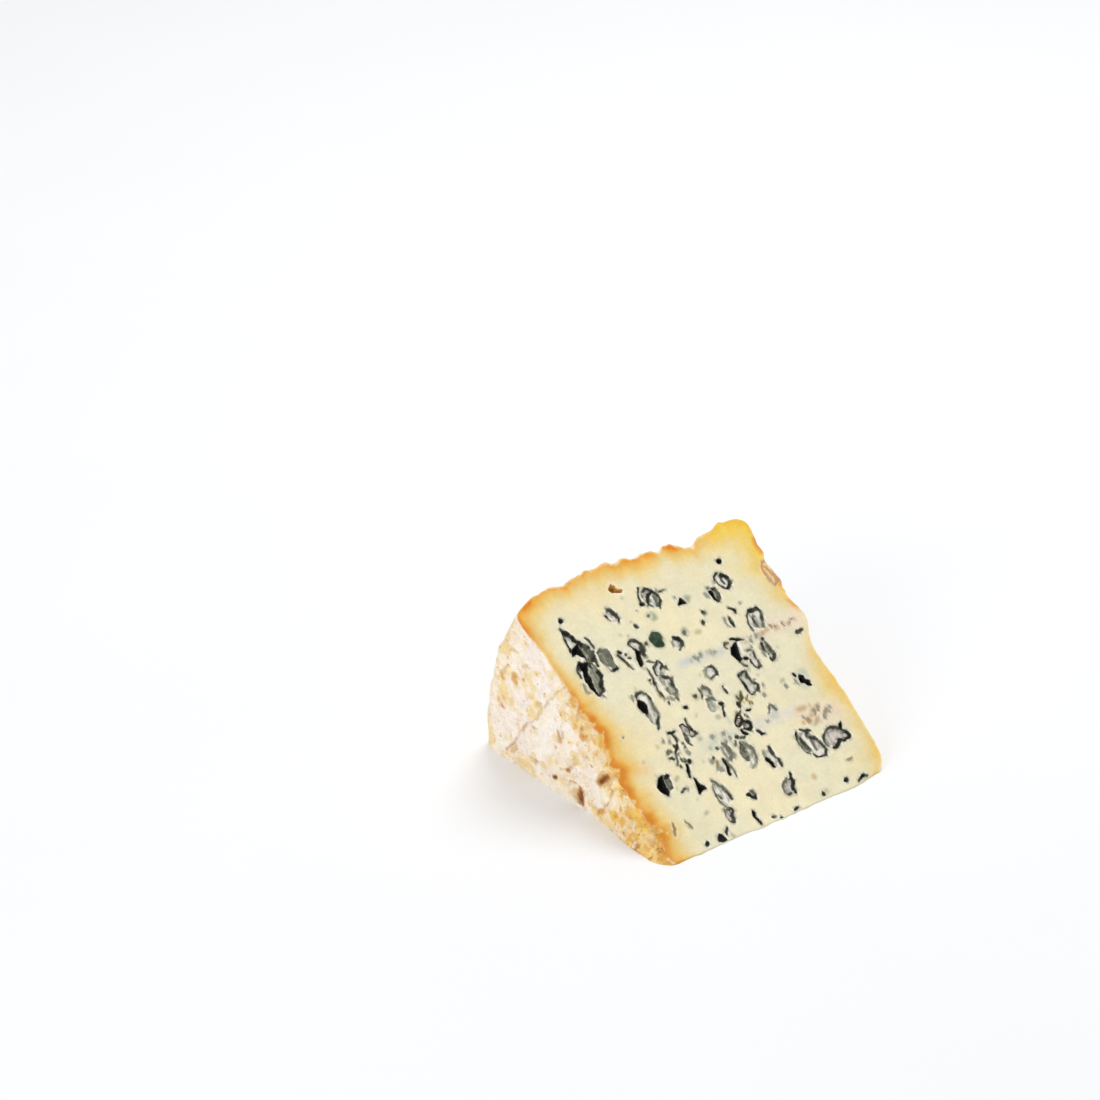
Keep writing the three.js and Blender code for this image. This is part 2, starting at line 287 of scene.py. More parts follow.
@dataclass(frozen=True)
class Oval(Mark):
    """An oval mark, with its middle, half its width and half its length.

    The lean is how far its length leans to the left of the way to the heel, in degrees.
    """

    x: float
    r: float
    half_x: float
    half_r: float
    lean: float = 0.0

    def inside(self, x: Floats, r: Floats) -> Floats:
        """Millimetres inside the rim: one less the oval's radius, over that radius's slope.

        Args:
            x: Places along the nose.
            r: Places from nose to heel.

        Returns:
            The distance, below 0 outside the rim.
        """
        turn = math.radians(self.lean)
        across = ((x - self.x) * math.cos(turn) + (r - self.r) * math.sin(turn)) / self.half_x
        along = ((r - self.r) * math.cos(turn) - (x - self.x) * math.sin(turn)) / self.half_r
        radius = np.hypot(across, along)
        slope = np.hypot(across / self.half_x, along / self.half_r) + 1e-6
        return np.minimum((1 - radius) * radius / slope, self.reach)

    @property
    def reach(self) -> float:
        """The smaller half size."""
        return min(self.half_x, self.half_r)


@dataclass(frozen=True)
class Stroke(Mark):
    """A line of mould through some points, which thins a little towards its ends."""

    half_width: float
    points: tuple[Pair, ...]

    def inside(self, x: Floats, r: Floats) -> Floats:
        """The half width at the nearest place of the path, less the distance to it."""
        distance, along = path_distance(x, r, self.points)
        return self.half_width * (0.72 + 0.28 * np.sin(math.pi * np.clip(along, 0, 1))) - distance

    @property
    def reach(self) -> float:
        """Its half width."""
        return self.half_width


@dataclass(frozen=True)
class Patch(Mark):
    """A mark with corners of its own, round which its outline stands out by the rounding."""

    points: tuple[Pair, ...]
    rounding: float = 0.25

    def inside(self, x: Floats, r: Floats) -> Floats:
        """Distance to the outline, below 0 where the way out crosses an even number of its sides.

        Args:
            x: Places along the nose.
            r: Places from nose to heel.

        Returns:
            Millimetres inside the outline.
        """
        distance, _ = path_distance(x, r, self.points, closed=True)
        within = np.zeros(x.shape, bool)
        for (x0, r0), (x1, r1) in zip(self.points, [*self.points[1:], self.points[0]], strict=False):
            if r0 != r1:
                crosses = ((r0 > r) != (r1 > r)) & (x < (x1 - x0) * (r - r0) / (r1 - r0) + x0)
                within ^= crosses
        return np.where(within, distance, -distance) + self.rounding

    @property
    def reach(self) -> float:
        """A half width that stands for the whole outline."""
        return 1.5


# Marks of the upper cut by look: ovals as x, r, half width, half length and lean in degrees; lines, under
# their half width, and outlines as x and r in turn.
UPPER_OVALS: dict[Look, list[Numbers]] = {
    Look.PALE: [
        (30.7, 85, 1.6, 2.6, 8), (32.9, 72.2, 2, 2.3, -10), (36.5, 61.6, 1.9, 1.9), (43.3, 11.7, 0.9, 1.2),
        (43.4, 27.9, 1.2, 2.8, -3), (47.5, 49.6, 1.1, 2.3), (47.8, 85.6, 2.6, 3.4, 10),
        (48.2, 68.6, 1.7, 2.2), (53.4, 54.9, 1.8, 1.9), (57.6, 20.2, 1.3, 3.3, -3), (65, 62, 0.9, 0.6),
        (71.8, 53.6, 1.3, 2.9), (76.6, 82.8, 2.4, 3, 10), (78.7, 54, 1.3, 3), (80.4, 66.4, 2.9, 3.9, -3),
    ],
    Look.WASH: [(47.4, 44.2, 1.7, 2.6, -8)],
    Look.MAUVE: [(31.6, 8, 1.4, 2.5, -5), (53.4, 36, 1.2, 1.2), (55.3, 33.7, 1.4, 1.1)],
    Look.LILAC: [
        (23.7, 48.2, 1.1, 2.6, 5), (36.9, 53.9, 1.5, 2, -15), (71.8, 79.3, 1.2, 2.4), (76, 19.2, 1, 2.4),
    ],
    Look.BLUSH: [(95.4, 79.8, 1.6, 4, -4)],
    Look.FELT: [(12.6, 65.6, 0.9, 1.6)],
    Look.DARK_FELT: [(49.3, 25.3, 1.55, 3.2, -10)],
    Look.RUST: [(36.4, 93.4, 0.9, 0.8)],
    Look.WHITE: [
        (20.9, 68.7, 0.4, 0.6), (27.6, 71.6, 1.2, 1), (33.5, 36.2, 0.7, 0.8), (47.8, 85.1, 0.7, 1.4, -8),
    ],
    Look.TAN: [(82.1, 29.7, 0.55, 0.6)],
    Look.MIST: [(55.8, 22.4, 0.7, 1.3), (77.2, 41.2, 0.6, 0.85)],
    Look.GREY: [
        (23.5, 49.2, 0.9, 1.3), (43.6, 80.4, 0.7, 0.5), (52.6, 70.5, 0.6, 0.7), (69.8, 82.1, 0.6, 0.6),
    ],
    Look.OLIVE: [
        (37.2, 71.8, 0.55, 0.6), (37.3, 27.9, 0.5, 0.6), (43.2, 49.4, 0.7, 0.6), (59, 43, 0.7, 0.9, -30),
    ],
    Look.DARK: [
        (36.8, 78.6, 0.8, 0.6, -50), (40.5, 30.3, 0.5, 0.6), (49.8, 31.4, 0.8, 0.6), (61.4, 71.7, 0.8, 0.8),
        (63.2, 74.9, 0.95, 0.85), (78.9, 58.9, 0.7, 0.7),
    ],
    Look.DEEP_GREEN: [(40.7, 73, 1.1, 0.8, 20), (41, 70.3, 0.8, 0.6), (42.4, 71, 0.8, 1.5, 10)],
    Look.UMBER: [(56.6, 41, 0.85, 1.1), (68.1, 2.1, 0.7, 0.7), (94, 56.6, 1.7, 0.8)],
    Look.INK: [
        (12.1, 89.4, 0.85, 0.8), (18.2, 2.3, 0.6, 0.95, -50), (18.3, 27.6, 0.65, 0.7), (22.1, 67.5, 0.8, 0.6),
        (27.8, 70.9, 0.6, 0.5), (28.7, 29.5, 0.55, 0.9, -20), (32.3, 57.9, 0.85, 0.95),
        (36.5, 37.7, 0.65, 0.8), (37.6, 46.9, 0.75, 0.55), (43.7, 10.3, 0.55, 0.5), (43.7, 85.1, 0.9, 0.7),
        (48.5, 0.9, 0.65, 0.6), (58.8, 6.4, 0.65, 0.6), (59.2, 29.1, 0.75, 0.5), (68.9, 54.6, 0.95, 0.6),
        (79.3, 3.7, 0.8, 0.75), (82.6, 43.6, 0.85, 0.5, -60),
    ],
    Look.CAVE: [(23.4, 52.3, 1.85, 2.8, 5), (56.1, 19.1, 1, 2.2, 10), (79.6, 89.4, 0.9, 0.9)],
    Look.SAGE: [
        (41.5, 71.8, 2.9, 3.4), (44.8, 79.8, 1.4, 1.5), (53.2, 70.9, 1.1, 1.6, 10), (60.4, 81.2, 1.2, 1.4),
    ],
    Look.DUSK: [(67.6, 34, 1.9, 2.2), (84.5, 38.6, 1.8, 1.2), (85.8, 42.4, 2, 2.4), (50.1, 37.6, 0.6, 1.4)],
    Look.MOSS: [(43.2, 49.2, 1.4, 1.3), (57.5, 69.4, 1.3, 0.8), (69.6, 2.6, 1.2, 1)],
    Look.FAWN: [(68.4, 8.8, 0.8, 1), (78, 32, 2.2, 1.1), (85.5, 27, 1.2, 0.6)],
}
UPPER_LINES: dict[tuple[Look, float], list[Numbers]] = {
    (Look.FELT, 0.74): [(34.5, 71.6, 33.9, 68.8), (81, 67.8, 80.2, 64.4)],
    (Look.DARK_FELT, 0.74): [(9.6, 72.2, 8.8, 70.8)],
    # Pale lines beside dark ones: partly pale flakes, partly painted highlight
    (Look.WHITE, 0.38): [
        (31.3, 62.6, 31.2, 55.6), (38.5, 26.2, 38.2, 23), (33.6, 60.2, 33.4, 53.6),
        (51.4, 26.2, 51.4, 23.4, 50.6, 21.6), (8.9, 69.8, 9, 68.6), (24.9, 56.1, 26, 54.4, 25.9, 51.6),
        (27.2, 68.8, 29, 64.6), (57.6, 22.2, 57.9, 19), (69, 80.8, 69.2, 78.6), (71.6, 54.8, 71.6, 52.4),
        (75.9, 84.9, 76.2, 82.8), (82.6, 42, 82.6, 40.4),
    ],
    (Look.WHITE, 0.55): [
        (69.6, 60.4, 69.1, 57.2), (11.5, 76.3, 12.3, 73.7), (73.5, 23, 74.4, 18.2), (44.7, 89, 44.4, 86.2),
    ],
    (Look.TAN, 0.42): [(83.6, 10, 85.2, 10.1)],
    (Look.SIENNA, 0.3): [
        (95.2, 82, 95.9, 80.2, 96, 78.4), (95.6, 75.6, 96.9, 76.4, 97.1, 78.4),
        (96.2, 84.4, 94.9, 83.9, 93.9, 81.8, 93.6, 79.4, 94.2, 77, 95.2, 75.4),
    ],
    (Look.STRAW, 0.36): [
        (10.4, 12.5, 10.1, 10.6, 9.3, 8.7), (15, 12, 15.7, 10.8, 15.9, 9.5), (37.8, 26, 37.5, 23.6),
    ],
    (Look.MIST, 0.36): [
        (7.5, 66.4, 7.2, 64.8, 7.9, 63), (21.4, 57, 21, 55.2), (69.6, 70.2, 69.2, 68.6, 69.7, 67),
        (74, 84.6, 73.4, 83), (76.4, 55.4, 76.3, 53), (81.8, 42.2, 81.3, 41, 82, 39.6), (35.1, 59, 35.2, 57),
        (46.6, 69.6, 46.2, 67.8), (51.8, 21.2, 49, 19.7), (53.4, 57, 51.8, 56.3, 51.4, 54.4, 52.1, 53),
        (68, 80.6, 68.2, 78.8), (42.2, 30, 42, 28, 42.3, 26.2, 43.4, 25), (12.9, 69.5, 13, 64.8),
        (15.2, 77.2, 15.6, 73.6), (20.3, 73.9, 20.8, 70.4), (14.4, 70.6, 14.6, 67.4),
    ],
    (Look.GREY, 0.38): [
        (25.3, 33.6, 24.8, 31, 23.6, 29.8), (30.5, 10.2, 30.4, 8, 31, 6.1),
        (32, 18.6, 31.3, 15.6, 31.3, 12.8, 32, 11.4), (32.5, 20.8, 33.8, 19.4, 35, 17.4, 35.5, 15),
        (35.4, 54.6, 35.8, 52.6, 37.2, 51.9, 38.3, 53.6), (38.4, 62.2, 39.2, 61.2), (46.6, 84.2, 47.4, 83),
        (46.8, 46.8, 48.6, 46.5, 49.6, 45.4), (66.4, 34.9, 66.9, 36.2, 68, 37, 68.9, 36.3, 69.3, 34.6),
        (77, 64.6, 77.2, 62.8), (83.2, 66.2, 81.6, 62.8), (27.3, 54.2, 26.9, 51.6, 27.2, 48.6, 26.4, 46.5),
        (33.7, 65.8, 35.9, 64.6), (41.2, 24.6, 41.9, 22, 41.8, 19.4),
        (43.4, 25, 44.5, 26.2, 44.7, 28.5, 44.1, 30.6, 43, 31), (47.9, 51.8, 48.9, 50, 49, 47.6),
        (48.6, 30.4, 47.5, 29), (50.8, 29.2, 52.7, 25.4, 52.7, 23, 51.8, 21.2),
        (58.4, 12.3, 56.8, 11.5, 55.6, 10, 55.3, 8, 55.6, 6.9), (70.7, 57.4, 72.7, 57),
        (18.8, 74.6, 20.2, 75.2, 22.2, 74.6, 22.4, 72.6), (48.9, 86.6, 49.6, 85, 49.4, 83.6, 48.8, 82.4),
    ],
    (Look.OLIVE, 0.38): [
        (25.9, 69, 27.4, 65.3), (32.3, 57.4, 32.1, 55, 32.7, 51.8), (32.4, 63.8, 32.6, 61, 32.4, 58),
        (45.9, 50.8, 46.3, 49.2, 45.6, 47.8), (57.2, 41.4, 58.3, 42.2), (52.1, 87.1, 54.2, 87.2),
        (64.2, 60.6, 63.9, 61.8, 64.8, 62.6, 66, 62.3), (23.6, 34.9, 24.5, 34.4), (60, 45, 58.4, 42.4),
    ],
    (Look.DARK, 0.36): [
        (24.7, 71.6, 25.9, 68.9), (48.4, 23.2, 47.9, 25.2, 48.8, 28, 50, 29.6),
        (70.4, 23, 70.3, 20.4, 70.8, 17.4, 72, 16.4), (71.9, 22.6, 73.4, 17.8),
        (80.2, 67.4, 79.9, 65.4, 80, 64), (16.9, 81.1, 17.9, 79.2, 18.3, 76.6),
        (19, 69.4, 19.6, 67.2, 21.4, 67), (19.9, 20.9, 20.8, 21), (21.3, 21.4, 22.4, 21.6),
        (27.8, 39.6, 28.4, 38.2, 28.2, 37), (31, 73.2, 31.6, 71.8, 32.6, 71.2),
        (31.5, 36.6, 31.8, 35.2, 32.6, 33.9), (31.9, 17.2, 31.5, 15.6), (32.6, 15.8, 33.2, 14.4),
        (35.5, 15.2, 35.8, 12.6), (36.2, 37.2, 34.9, 36.8, 34.4, 37.6),
        (43, 13.1, 44, 12.6, 44.2, 11.2, 43.8, 10.2), (43.6, 86.2, 44.2, 88.2, 45.4, 90.6),
        (50.7, 30.7, 52.2, 30.2), (54.8, 48.8, 55.1, 46), (55.8, 6.8, 56.8, 6.6, 57.6, 7.2),
        (66.5, 50.8, 65.8, 47), (75.3, 24, 75.2, 22.2, 76.8, 21.2, 77.8, 19.4, 78.3, 15.4),
        (79, 69.7, 78, 68.5, 77.3, 66.5, 77, 64.4), (83.5, 1.8, 85.2, 2.2), (87.2, 2.6, 88, 1.8),
        (46.3, 88.6, 47.4, 90, 49.9, 87.4, 50.9, 85.8, 50.9, 84.2, 49.6, 82.6, 49, 81.4),
    ],
    (Look.DARK, 0.42): [
        (22.3, 54.8, 22.8, 56.3, 24.3, 57.1, 26, 57, 27, 55.8, 27.3, 54), (22.4, 32.8, 23.7, 32.1),
        (26.5, 46.8, 24, 43.2), (28.5, 4.5, 26.9, 2.4), (13.4, 75.4, 14, 71),
        (30.3, 87.8, 31.4, 86.9, 32.3, 85, 32.5, 83.2, 32.1, 82.2),
        (30.8, 73.6, 31.6, 74.5, 32.8, 74.8, 34.2, 74, 35.1, 72.4, 35.2, 70.4, 34.2, 68.4),
        (31, 6.1, 32.1, 5.4, 32.7, 6.6, 32.6, 7.8), (32.4, 11, 33.6, 10, 34, 8.9, 33.2, 8.2),
        (34.9, 60.4, 34.5, 61.6, 35, 63.2, 36.4, 63.8, 37.6, 64.8), (37.8, 64.6, 38.3, 62.9, 37.2, 62.2),
        (35.7, 59.7, 36.9, 58.8, 38.3, 58.5, 38.6, 57, 38.3, 55.2), (66.4, 54, 67, 52.8, 67.8, 52.3),
        (47.6, 70.8, 49.2, 70, 49.9, 68.5, 49.6, 67.2, 47.6, 65.6),
        (54.2, 56.9, 55.6, 56.5, 55.9, 55, 55.3, 53.5, 52.7, 52.8), (58, 30.7, 59.8, 28.9),
        (58.6, 24.1, 59.5, 17.6, 59.2, 16.4), (62.8, 50.2, 64.2, 50.9, 66, 51.4),
        (63.8, 42.4, 65.4, 42.7, 66.9, 43.7, 67.6, 45, 66.9, 46.1, 65.9, 46.8), (77.2, 85, 77.5, 82),
        (70.2, 53.8, 70.5, 51.6, 71.5, 50.5, 72.6, 51, 73.1, 52.8, 72.9, 56.8),
        (83.1, 69.8, 83.6, 68.2, 83.2, 66),
        (71, 81.5, 72.3, 81, 72.8, 79.4, 72.4, 77.6, 71.4, 76.5, 70.6, 76.8),
        (73, 25.2, 74.8, 24.4, 76.6, 24), (78.2, 15.6, 77, 14, 75.6, 14.1, 74, 14.8, 73, 16),
        (79.6, 16.6, 79.3, 18.4, 79.9, 20.2, 82.6, 22.3),
        (79, 57.8, 79.8, 55.5, 79.8, 53, 78.9, 51.3, 77.8, 50.9, 77.4, 51.8),
    ],
    (Look.UMBER, 0.42): [
        (27.9, 36.2, 26.8, 34.8, 25.5, 33.9), (52.6, 34.2, 55, 35.6, 55.4, 37, 55.2, 38),
        (56.2, 39, 55.4, 38, 53.8, 37.5, 52.6, 36.5, 52, 35.1, 52.6, 34.2),
    ],
    (Look.INK, 0.4): [
        (15.2, 69, 15.4, 66.4, 13.8, 64.8, 13.4, 62, 10.8, 60.8, 10, 62.4), (49.7, 39.7, 50.9, 42.3),
        (10.6, 87.1, 10.7, 85.6, 9.5, 78), (26.6, 40.6, 28, 40.1, 29.2, 40.3), (28.1, 69.5, 29.2, 69.1),
        (28.4, 85.9, 29.4, 83.6), (35.4, 43.1, 35.6, 39.2, 36.4, 38), (45.7, 2, 47.2, 2),
        (46, 84.4, 46.5, 86, 47.8, 87.5, 49.2, 87.9), (54.7, 1.3, 56.7, 1.4), (58.5, 38.5, 60, 38.3),
        (59.8, 9.2, 58.9, 6.4), (60.6, 13.1, 60, 12, 60.7, 10.5, 60.3, 9.3), (48.6, 70.2, 49.6, 69.4),
        (62.8, 50.4, 63.2, 44.2, 63.6, 42.6), (67.4, 63.1, 68.6, 62.8, 69.6, 62, 72, 61.3),
        (73, 73.3, 74.2, 72.8, 75, 71.9, 75.2, 70.9), (74.4, 84.9, 75.4, 85.8, 76.4, 86),
    ],
    (Look.INK, 0.55): [
        (10.6, 73.8, 8.8, 72.4, 7.9, 70.4, 8.1, 68.8), (10.7, 86.8, 13.5, 81.2, 16.4, 77.8),
        (25.6, 72.4, 26.8, 72), (41.5, 12.1, 42.2, 12.2, 42.9, 10.7), (50.4, 43.9, 51.6, 43.4),
        (55.4, 35.4, 56.8, 34.7, 57.3, 33.5, 56.8, 32.4, 55.3, 32.2, 54, 32.9), (10.6, 86.6, 11.2, 84.6),
        (70.6, 23, 71.2, 24.8), (77.4, 85.3, 79.1, 83.9, 79.5, 82.2, 78.4, 80.4, 77, 79.7),
        (79.5, 70.2, 81.8, 69.7, 83, 69.9), (17.2, 75.4, 16.4, 73, 16.1, 70.6),
        (71.5, 70, 71.4, 68.3, 71.8, 66.6), (74.4, 84.9, 74.9, 82.9, 75.8, 81, 77, 79.8),
        (77.6, 57.6, 77.6, 55.6, 78.1, 54), (82.4, 22.2, 84.4, 22.5, 86.2, 21.9, 87.2, 20.8, 88.2, 20.2),
        (86.9, 16.1, 86, 17, 84.9, 17.1, 82.3, 15.4, 81, 15.8),
        (88.2, 20, 89.4, 18.7, 89.9, 17.3, 89.4, 16.6, 86.9, 16.1),
    ],
    (Look.CAVE, 0.55): [
        (40.2, 6.3, 39.8, 4.8, 40.2, 1.9), (40.2, 25.8, 40.3, 23.5, 39.8, 20.8), (85.3, 2.5, 87, 2.8),
        (27.1, 28.7, 25.8, 25), (52.7, 32.9, 52.9, 31.8, 53.6, 30.8),
    ],
    (Look.CAVE, 0.74): [(70, 80.6, 70.6, 77.6), (88.2, 20.8, 88.5, 21.9, 89.3, 22.2)],
    (Look.SMUDGE, 0.6): [
        (20.3, 25.4, 21.6, 25.9), (23.3, 11.5, 24.4, 11.8), (28.4, 2.4, 28.7, 0.6), (31.2, 64.6, 32, 63.4),
        (48, 42.4, 49.8, 43.4), (76.6, 43.1, 77.9, 43.4), (22.6, 1.6, 23.6, 3.6), (79.5, 25.2, 82, 27),
    ],
}
UPPER_OUTLINES: dict[Look, list[Numbers]] = {
    Look.PALE: [
        (10.6, 86, 12.4, 83.4, 13.4, 80.6, 10, 79.6),
        (22.8, 55.6, 24.4, 56.6, 26.4, 56, 26.8, 53.6, 26.5, 48.4, 25.2, 45.4, 24.2, 44.4, 23.4, 47),
        (32.2, 19.4, 34.2, 18.2, 35.2, 14.4, 35, 12, 32.4, 11.6, 31.6, 14.6),
        (35.2, 59.2, 37.8, 58.4, 38.2, 55.4, 35.4, 55.2),
        (50.4, 29.6, 52.2, 26.4, 52.4, 23, 51, 20.8, 49, 20.6, 50, 24),
        (63.6, 50.4, 66, 50.6, 65.6, 47, 67.2, 45.6, 66, 43.4, 64, 43.2),
        (72, 24.4, 74.6, 24, 77.2, 21, 78, 17, 77.4, 14.8, 75, 14.8, 73.2, 16.6),
    ],
    Look.MAUVE: [
        (58.4, 11.8, 60.2, 11.6, 59.4, 7.6, 58, 6.8, 56, 7.2, 55.8, 9.6, 57, 11.2),
        (80, 17.2, 80.4, 20.2, 82.6, 21.8, 85.8, 21.6, 87.4, 19.8, 89.2, 18, 88.6, 16.8, 85, 17.8, 82.4, 16),
    ],
    Look.LILAC: [(31.8, 41.8, 33.6, 42, 35, 40, 34.2, 37.4, 32.4, 37)],
    Look.FELT: [
        (11, 72.2, 14.4, 72.4, 15.2, 69, 15.3, 66.4, 13.8, 64.6, 13.2, 62.2, 11.2, 61),
        (16.6, 28.4, 18.2, 27.6, 18.4, 25.4, 17.6, 23.2, 16.4, 23.2, 16.2, 26),
        (18.4, 74.8, 20, 75.5, 22.4, 74.9, 22.7, 71, 22.3, 69, 22.6, 67.3, 19.6, 67, 18.9, 69.4, 18.2, 71.4),
        (70.8, 24.6, 71.4, 25, 71.6, 22.8, 72.3, 20, 73.2, 17.6, 72.2, 16.6, 71, 17.2, 70.5, 20, 70.4, 22.8),
    ],
    Look.DARK_FELT: [(13.4, 80, 16.2, 78.2, 17.2, 75.6, 16.2, 72, 14, 73, 13, 77)],
    Look.AMBER: [
        (34.8, 93.9, 35.7, 94.4, 36.6, 95.4, 37.5, 94.2, 38, 93, 39.4, 92, 39, 91.4, 37, 91.9, 35.4, 92.2),
    ],
    Look.GREEN: [
        (39.2, 73.4, 41, 74.6, 43.4, 73.8, 43.6, 72.5, 43.1, 71, 43.2, 69.8, 42, 69.1, 40, 69.6, 39.5, 72),
    ],
    Look.DARK: [(31.7, 36.8, 32, 38.3, 32.9, 38.6, 33.6, 37.9, 33, 36.9, 32.6, 36)],
    Look.CAVE: [
        (9.7, 76.6, 10.3, 78.7, 13.1, 79.8, 14.2, 77.6, 13.8, 75, 12.6, 75.4, 11.3, 77),
        (10.3, 73.8, 13, 72.8, 11.9, 70, 11.3, 66, 10.7, 61.2, 9.7, 62.8, 9.3, 67),
        (14.6, 27.8, 16.2, 28.3, 15.8, 26, 16, 23.8, 14.6, 21.9, 13.3, 23.2, 12.9, 25.5),
        (23.9, 3.4, 24.7, 3, 25.4, 1.4, 24.4, 0.8, 23, 1.6),
        (26.9, 23.8, 27.5, 21.6, 28.9, 19.1, 27.5, 18.9, 25.8, 18.3, 26.5, 20.6, 26.7, 22.5),
        (32.6, 70.8, 31.6, 70, 31, 68, 30.8, 65.2, 31.4, 65.6, 32.4, 68, 33.2, 70),
        (56.5, 80.5, 57.3, 81, 58.1, 81.9, 58.5, 81.1, 58.7, 80.2, 57.8, 80.5),
        (
            64.9, 58, 66.1, 60.2, 67.5, 60.7, 68.9, 61.2, 68.4, 59.4, 67.7, 57, 66.8, 54.8, 66.1, 54.6,
            65.5, 56,
        ),
        (
            83.4, 41.2, 84.4, 42.6, 85.2, 42, 85.5, 40.6, 86.8, 39.5, 86.6, 38.2, 85.7, 38.7, 84.8, 40,
            83.6, 40.4,
        ),
    ],
}


def pairs(numbers: Numbers) -> tuple[Pair, ...]:
    """Reads x and r in turn as places."""
    return tuple(zip(numbers[::2], numbers[1::2], strict=True))


def upper_marks() -> list[Mark]:
    """Makes the marks of the upper cut.

    Returns:
        Its ovals, lines, outlines and sprinkled specks.
    """
    marks: list[Mark] = [Oval(look, *sizes) for look, group in UPPER_OVALS.items() for sizes in group]
    for (look, half), group in UPPER_LINES.items():
        marks += [Stroke(look, half, pairs(line)) for line in group]
    marks += [Patch(look, pairs(line)) for look, group in UPPER_OUTLINES.items() for line in group]
    for seed, field_of_specks in enumerate(UPPER_SPRINKLINGS, FIRST_SEED):
        marks += field_of_specks.specks(seed)
    return marks


@dataclass(frozen=True)
class Track:
    """A faint line across a cut face, where the wheel was pierced.

    It starts and ends at places along the nose, each with a distance from the nose, and fades in over its
    ends. The strength says how strongly it tints the paste, from 0 to 1.
    """

    FADE = 3

    start: float
    end: float
    start_r: float
    end_r: float
    half_width: float
    colour: Colour
    strength: float

    def amount(self, x: Floats, r: Floats) -> Floats:
        """How strongly the track tints each place: a bell across it, easing out at its ends.

        Args:
            x: Places along the nose.
            r: Places from nose to heel.

        Returns:
            The share of its colour, from 0 to 1.
        """
        along = ease(x, self.start - self.FADE, self.start + self.FADE)
        along *= 1 - ease(x, self.end - self.FADE, self.end + self.FADE)
        middle = np.interp(x, [self.start, self.end], [self.start_r, self.end_r])
        return self.strength * along * hump(r, middle, self.half_width)


UPPER_TRACKS = [
    Track(44, 64, 61.2, 60.2, 1.7, (206, 210, 206), 0.9),
    Track(66, 80, 60.2, 60.4, 1.8, (206, 198, 180), 0.7),
    Track(77, 98, 61.8, 61.2, 3, (240, 218, 200), 0.95),
    Track(35, 52, 32.4, 32, 2.6, (208, 212, 194), 0.8),
    Track(56, 77, 32.6, 32.2, 2.2, (222, 218, 210), 0.8),
    Track(75, 93, 30.5, 26, 3.8, (240, 216, 194), 0.9),
    Track(4, 14, 33, 32.4, 1.6, (238, 190, 128), 0.6),
]


@dataclass(frozen=True)
class Sprinkling:
    """Small specks of mould, drawn at random in an oval field with a middle and half sizes.

    The size is half the length of the largest speck in millimetres.
    """

    looks: tuple[Look, ...]
    x: float
    r: float
    half_x: float
    half_r: float
    count: int
    size: float

    def specks(self, seed: int) -> list[Mark]:
        """Draws the specks, each a little slimmer than it is long.

        Args:
            seed: Seed of the draw.

        Returns:
            The specks.
        """
        draw = np.random.default_rng(seed)
        marks: list[Mark] = []
        for _ in range(self.count):
            reach, way = math.sqrt(draw.uniform()), draw.uniform(0, 2 * math.pi)
            x = self.x + self.half_x * reach * math.cos(way)
            r = self.r + self.half_r * reach * math.sin(way)
            long = self.size * draw.uniform(0.45, 1)
            look = self.looks[draw.integers(len(self.looks))]
            marks.append(Oval(look, x, r, long * draw.uniform(0.45, 0.8), long, draw.uniform(-45, 25)))
        return marks


FIRST_SEED = 61
UPPER_SPRINKLINGS = [
    Sprinkling((Look.GREY, Look.MIST, Look.MIST, Look.OLIVE), 26, 35, 4, 7, 14, 0.8),
    Sprinkling((Look.MIST, Look.SMUDGE, Look.DUSK), 38, 30, 9, 9, 22, 1),
    Sprinkling((Look.MIST, Look.SMUDGE, Look.DUSK), 48, 33, 8, 12, 22, 1),
    Sprinkling((Look.MIST, Look.MIST, Look.GREY, Look.OLIVE), 35, 60, 4.5, 12, 18, 0.8),
    Sprinkling((Look.OLIVE, Look.STRAW, Look.MOSS), 60, 42, 3.5, 5, 10, 0.8),
    Sprinkling((Look.GREY, Look.UMBER, Look.FAWN), 55.5, 34.5, 3.5, 4.5, 8, 0.6),
    Sprinkling((Look.GREY, Look.MIST), 47, 86, 5, 5, 10, 0.7),
    Sprinkling((Look.TAN, Look.FAWN, Look.FAWN, Look.FAWN, Look.MIST), 82, 28.5, 7, 3.4, 28, 0.9),
    Sprinkling((Look.FAWN, Look.FAWN, Look.FAWN, Look.TAN), 87, 61.4, 9.5, 1, 30, 0.6),
    Sprinkling((Look.MIST, Look.SMUDGE, Look.FAWN), 75, 60.6, 5, 1.1, 14, 0.7),
    Sprinkling((Look.MIST, Look.SMUDGE), 55, 61, 6, 1.1, 10, 0.7),
    Sprinkling((Look.MIST, Look.GREY), 72, 55, 6, 5, 8, 0.6),
    Sprinkling((Look.MIST, Look.SMUDGE), 66, 46, 4, 6, 8, 0.7),
    Sprinkling((Look.MOSS, Look.SMUDGE, Look.MIST), 48, 50, 40, 42, 40, 0.6),
    Sprinkling((Look.FAWN,), 95.6, 79.5, 1.4, 4, 10, 0.6),
]


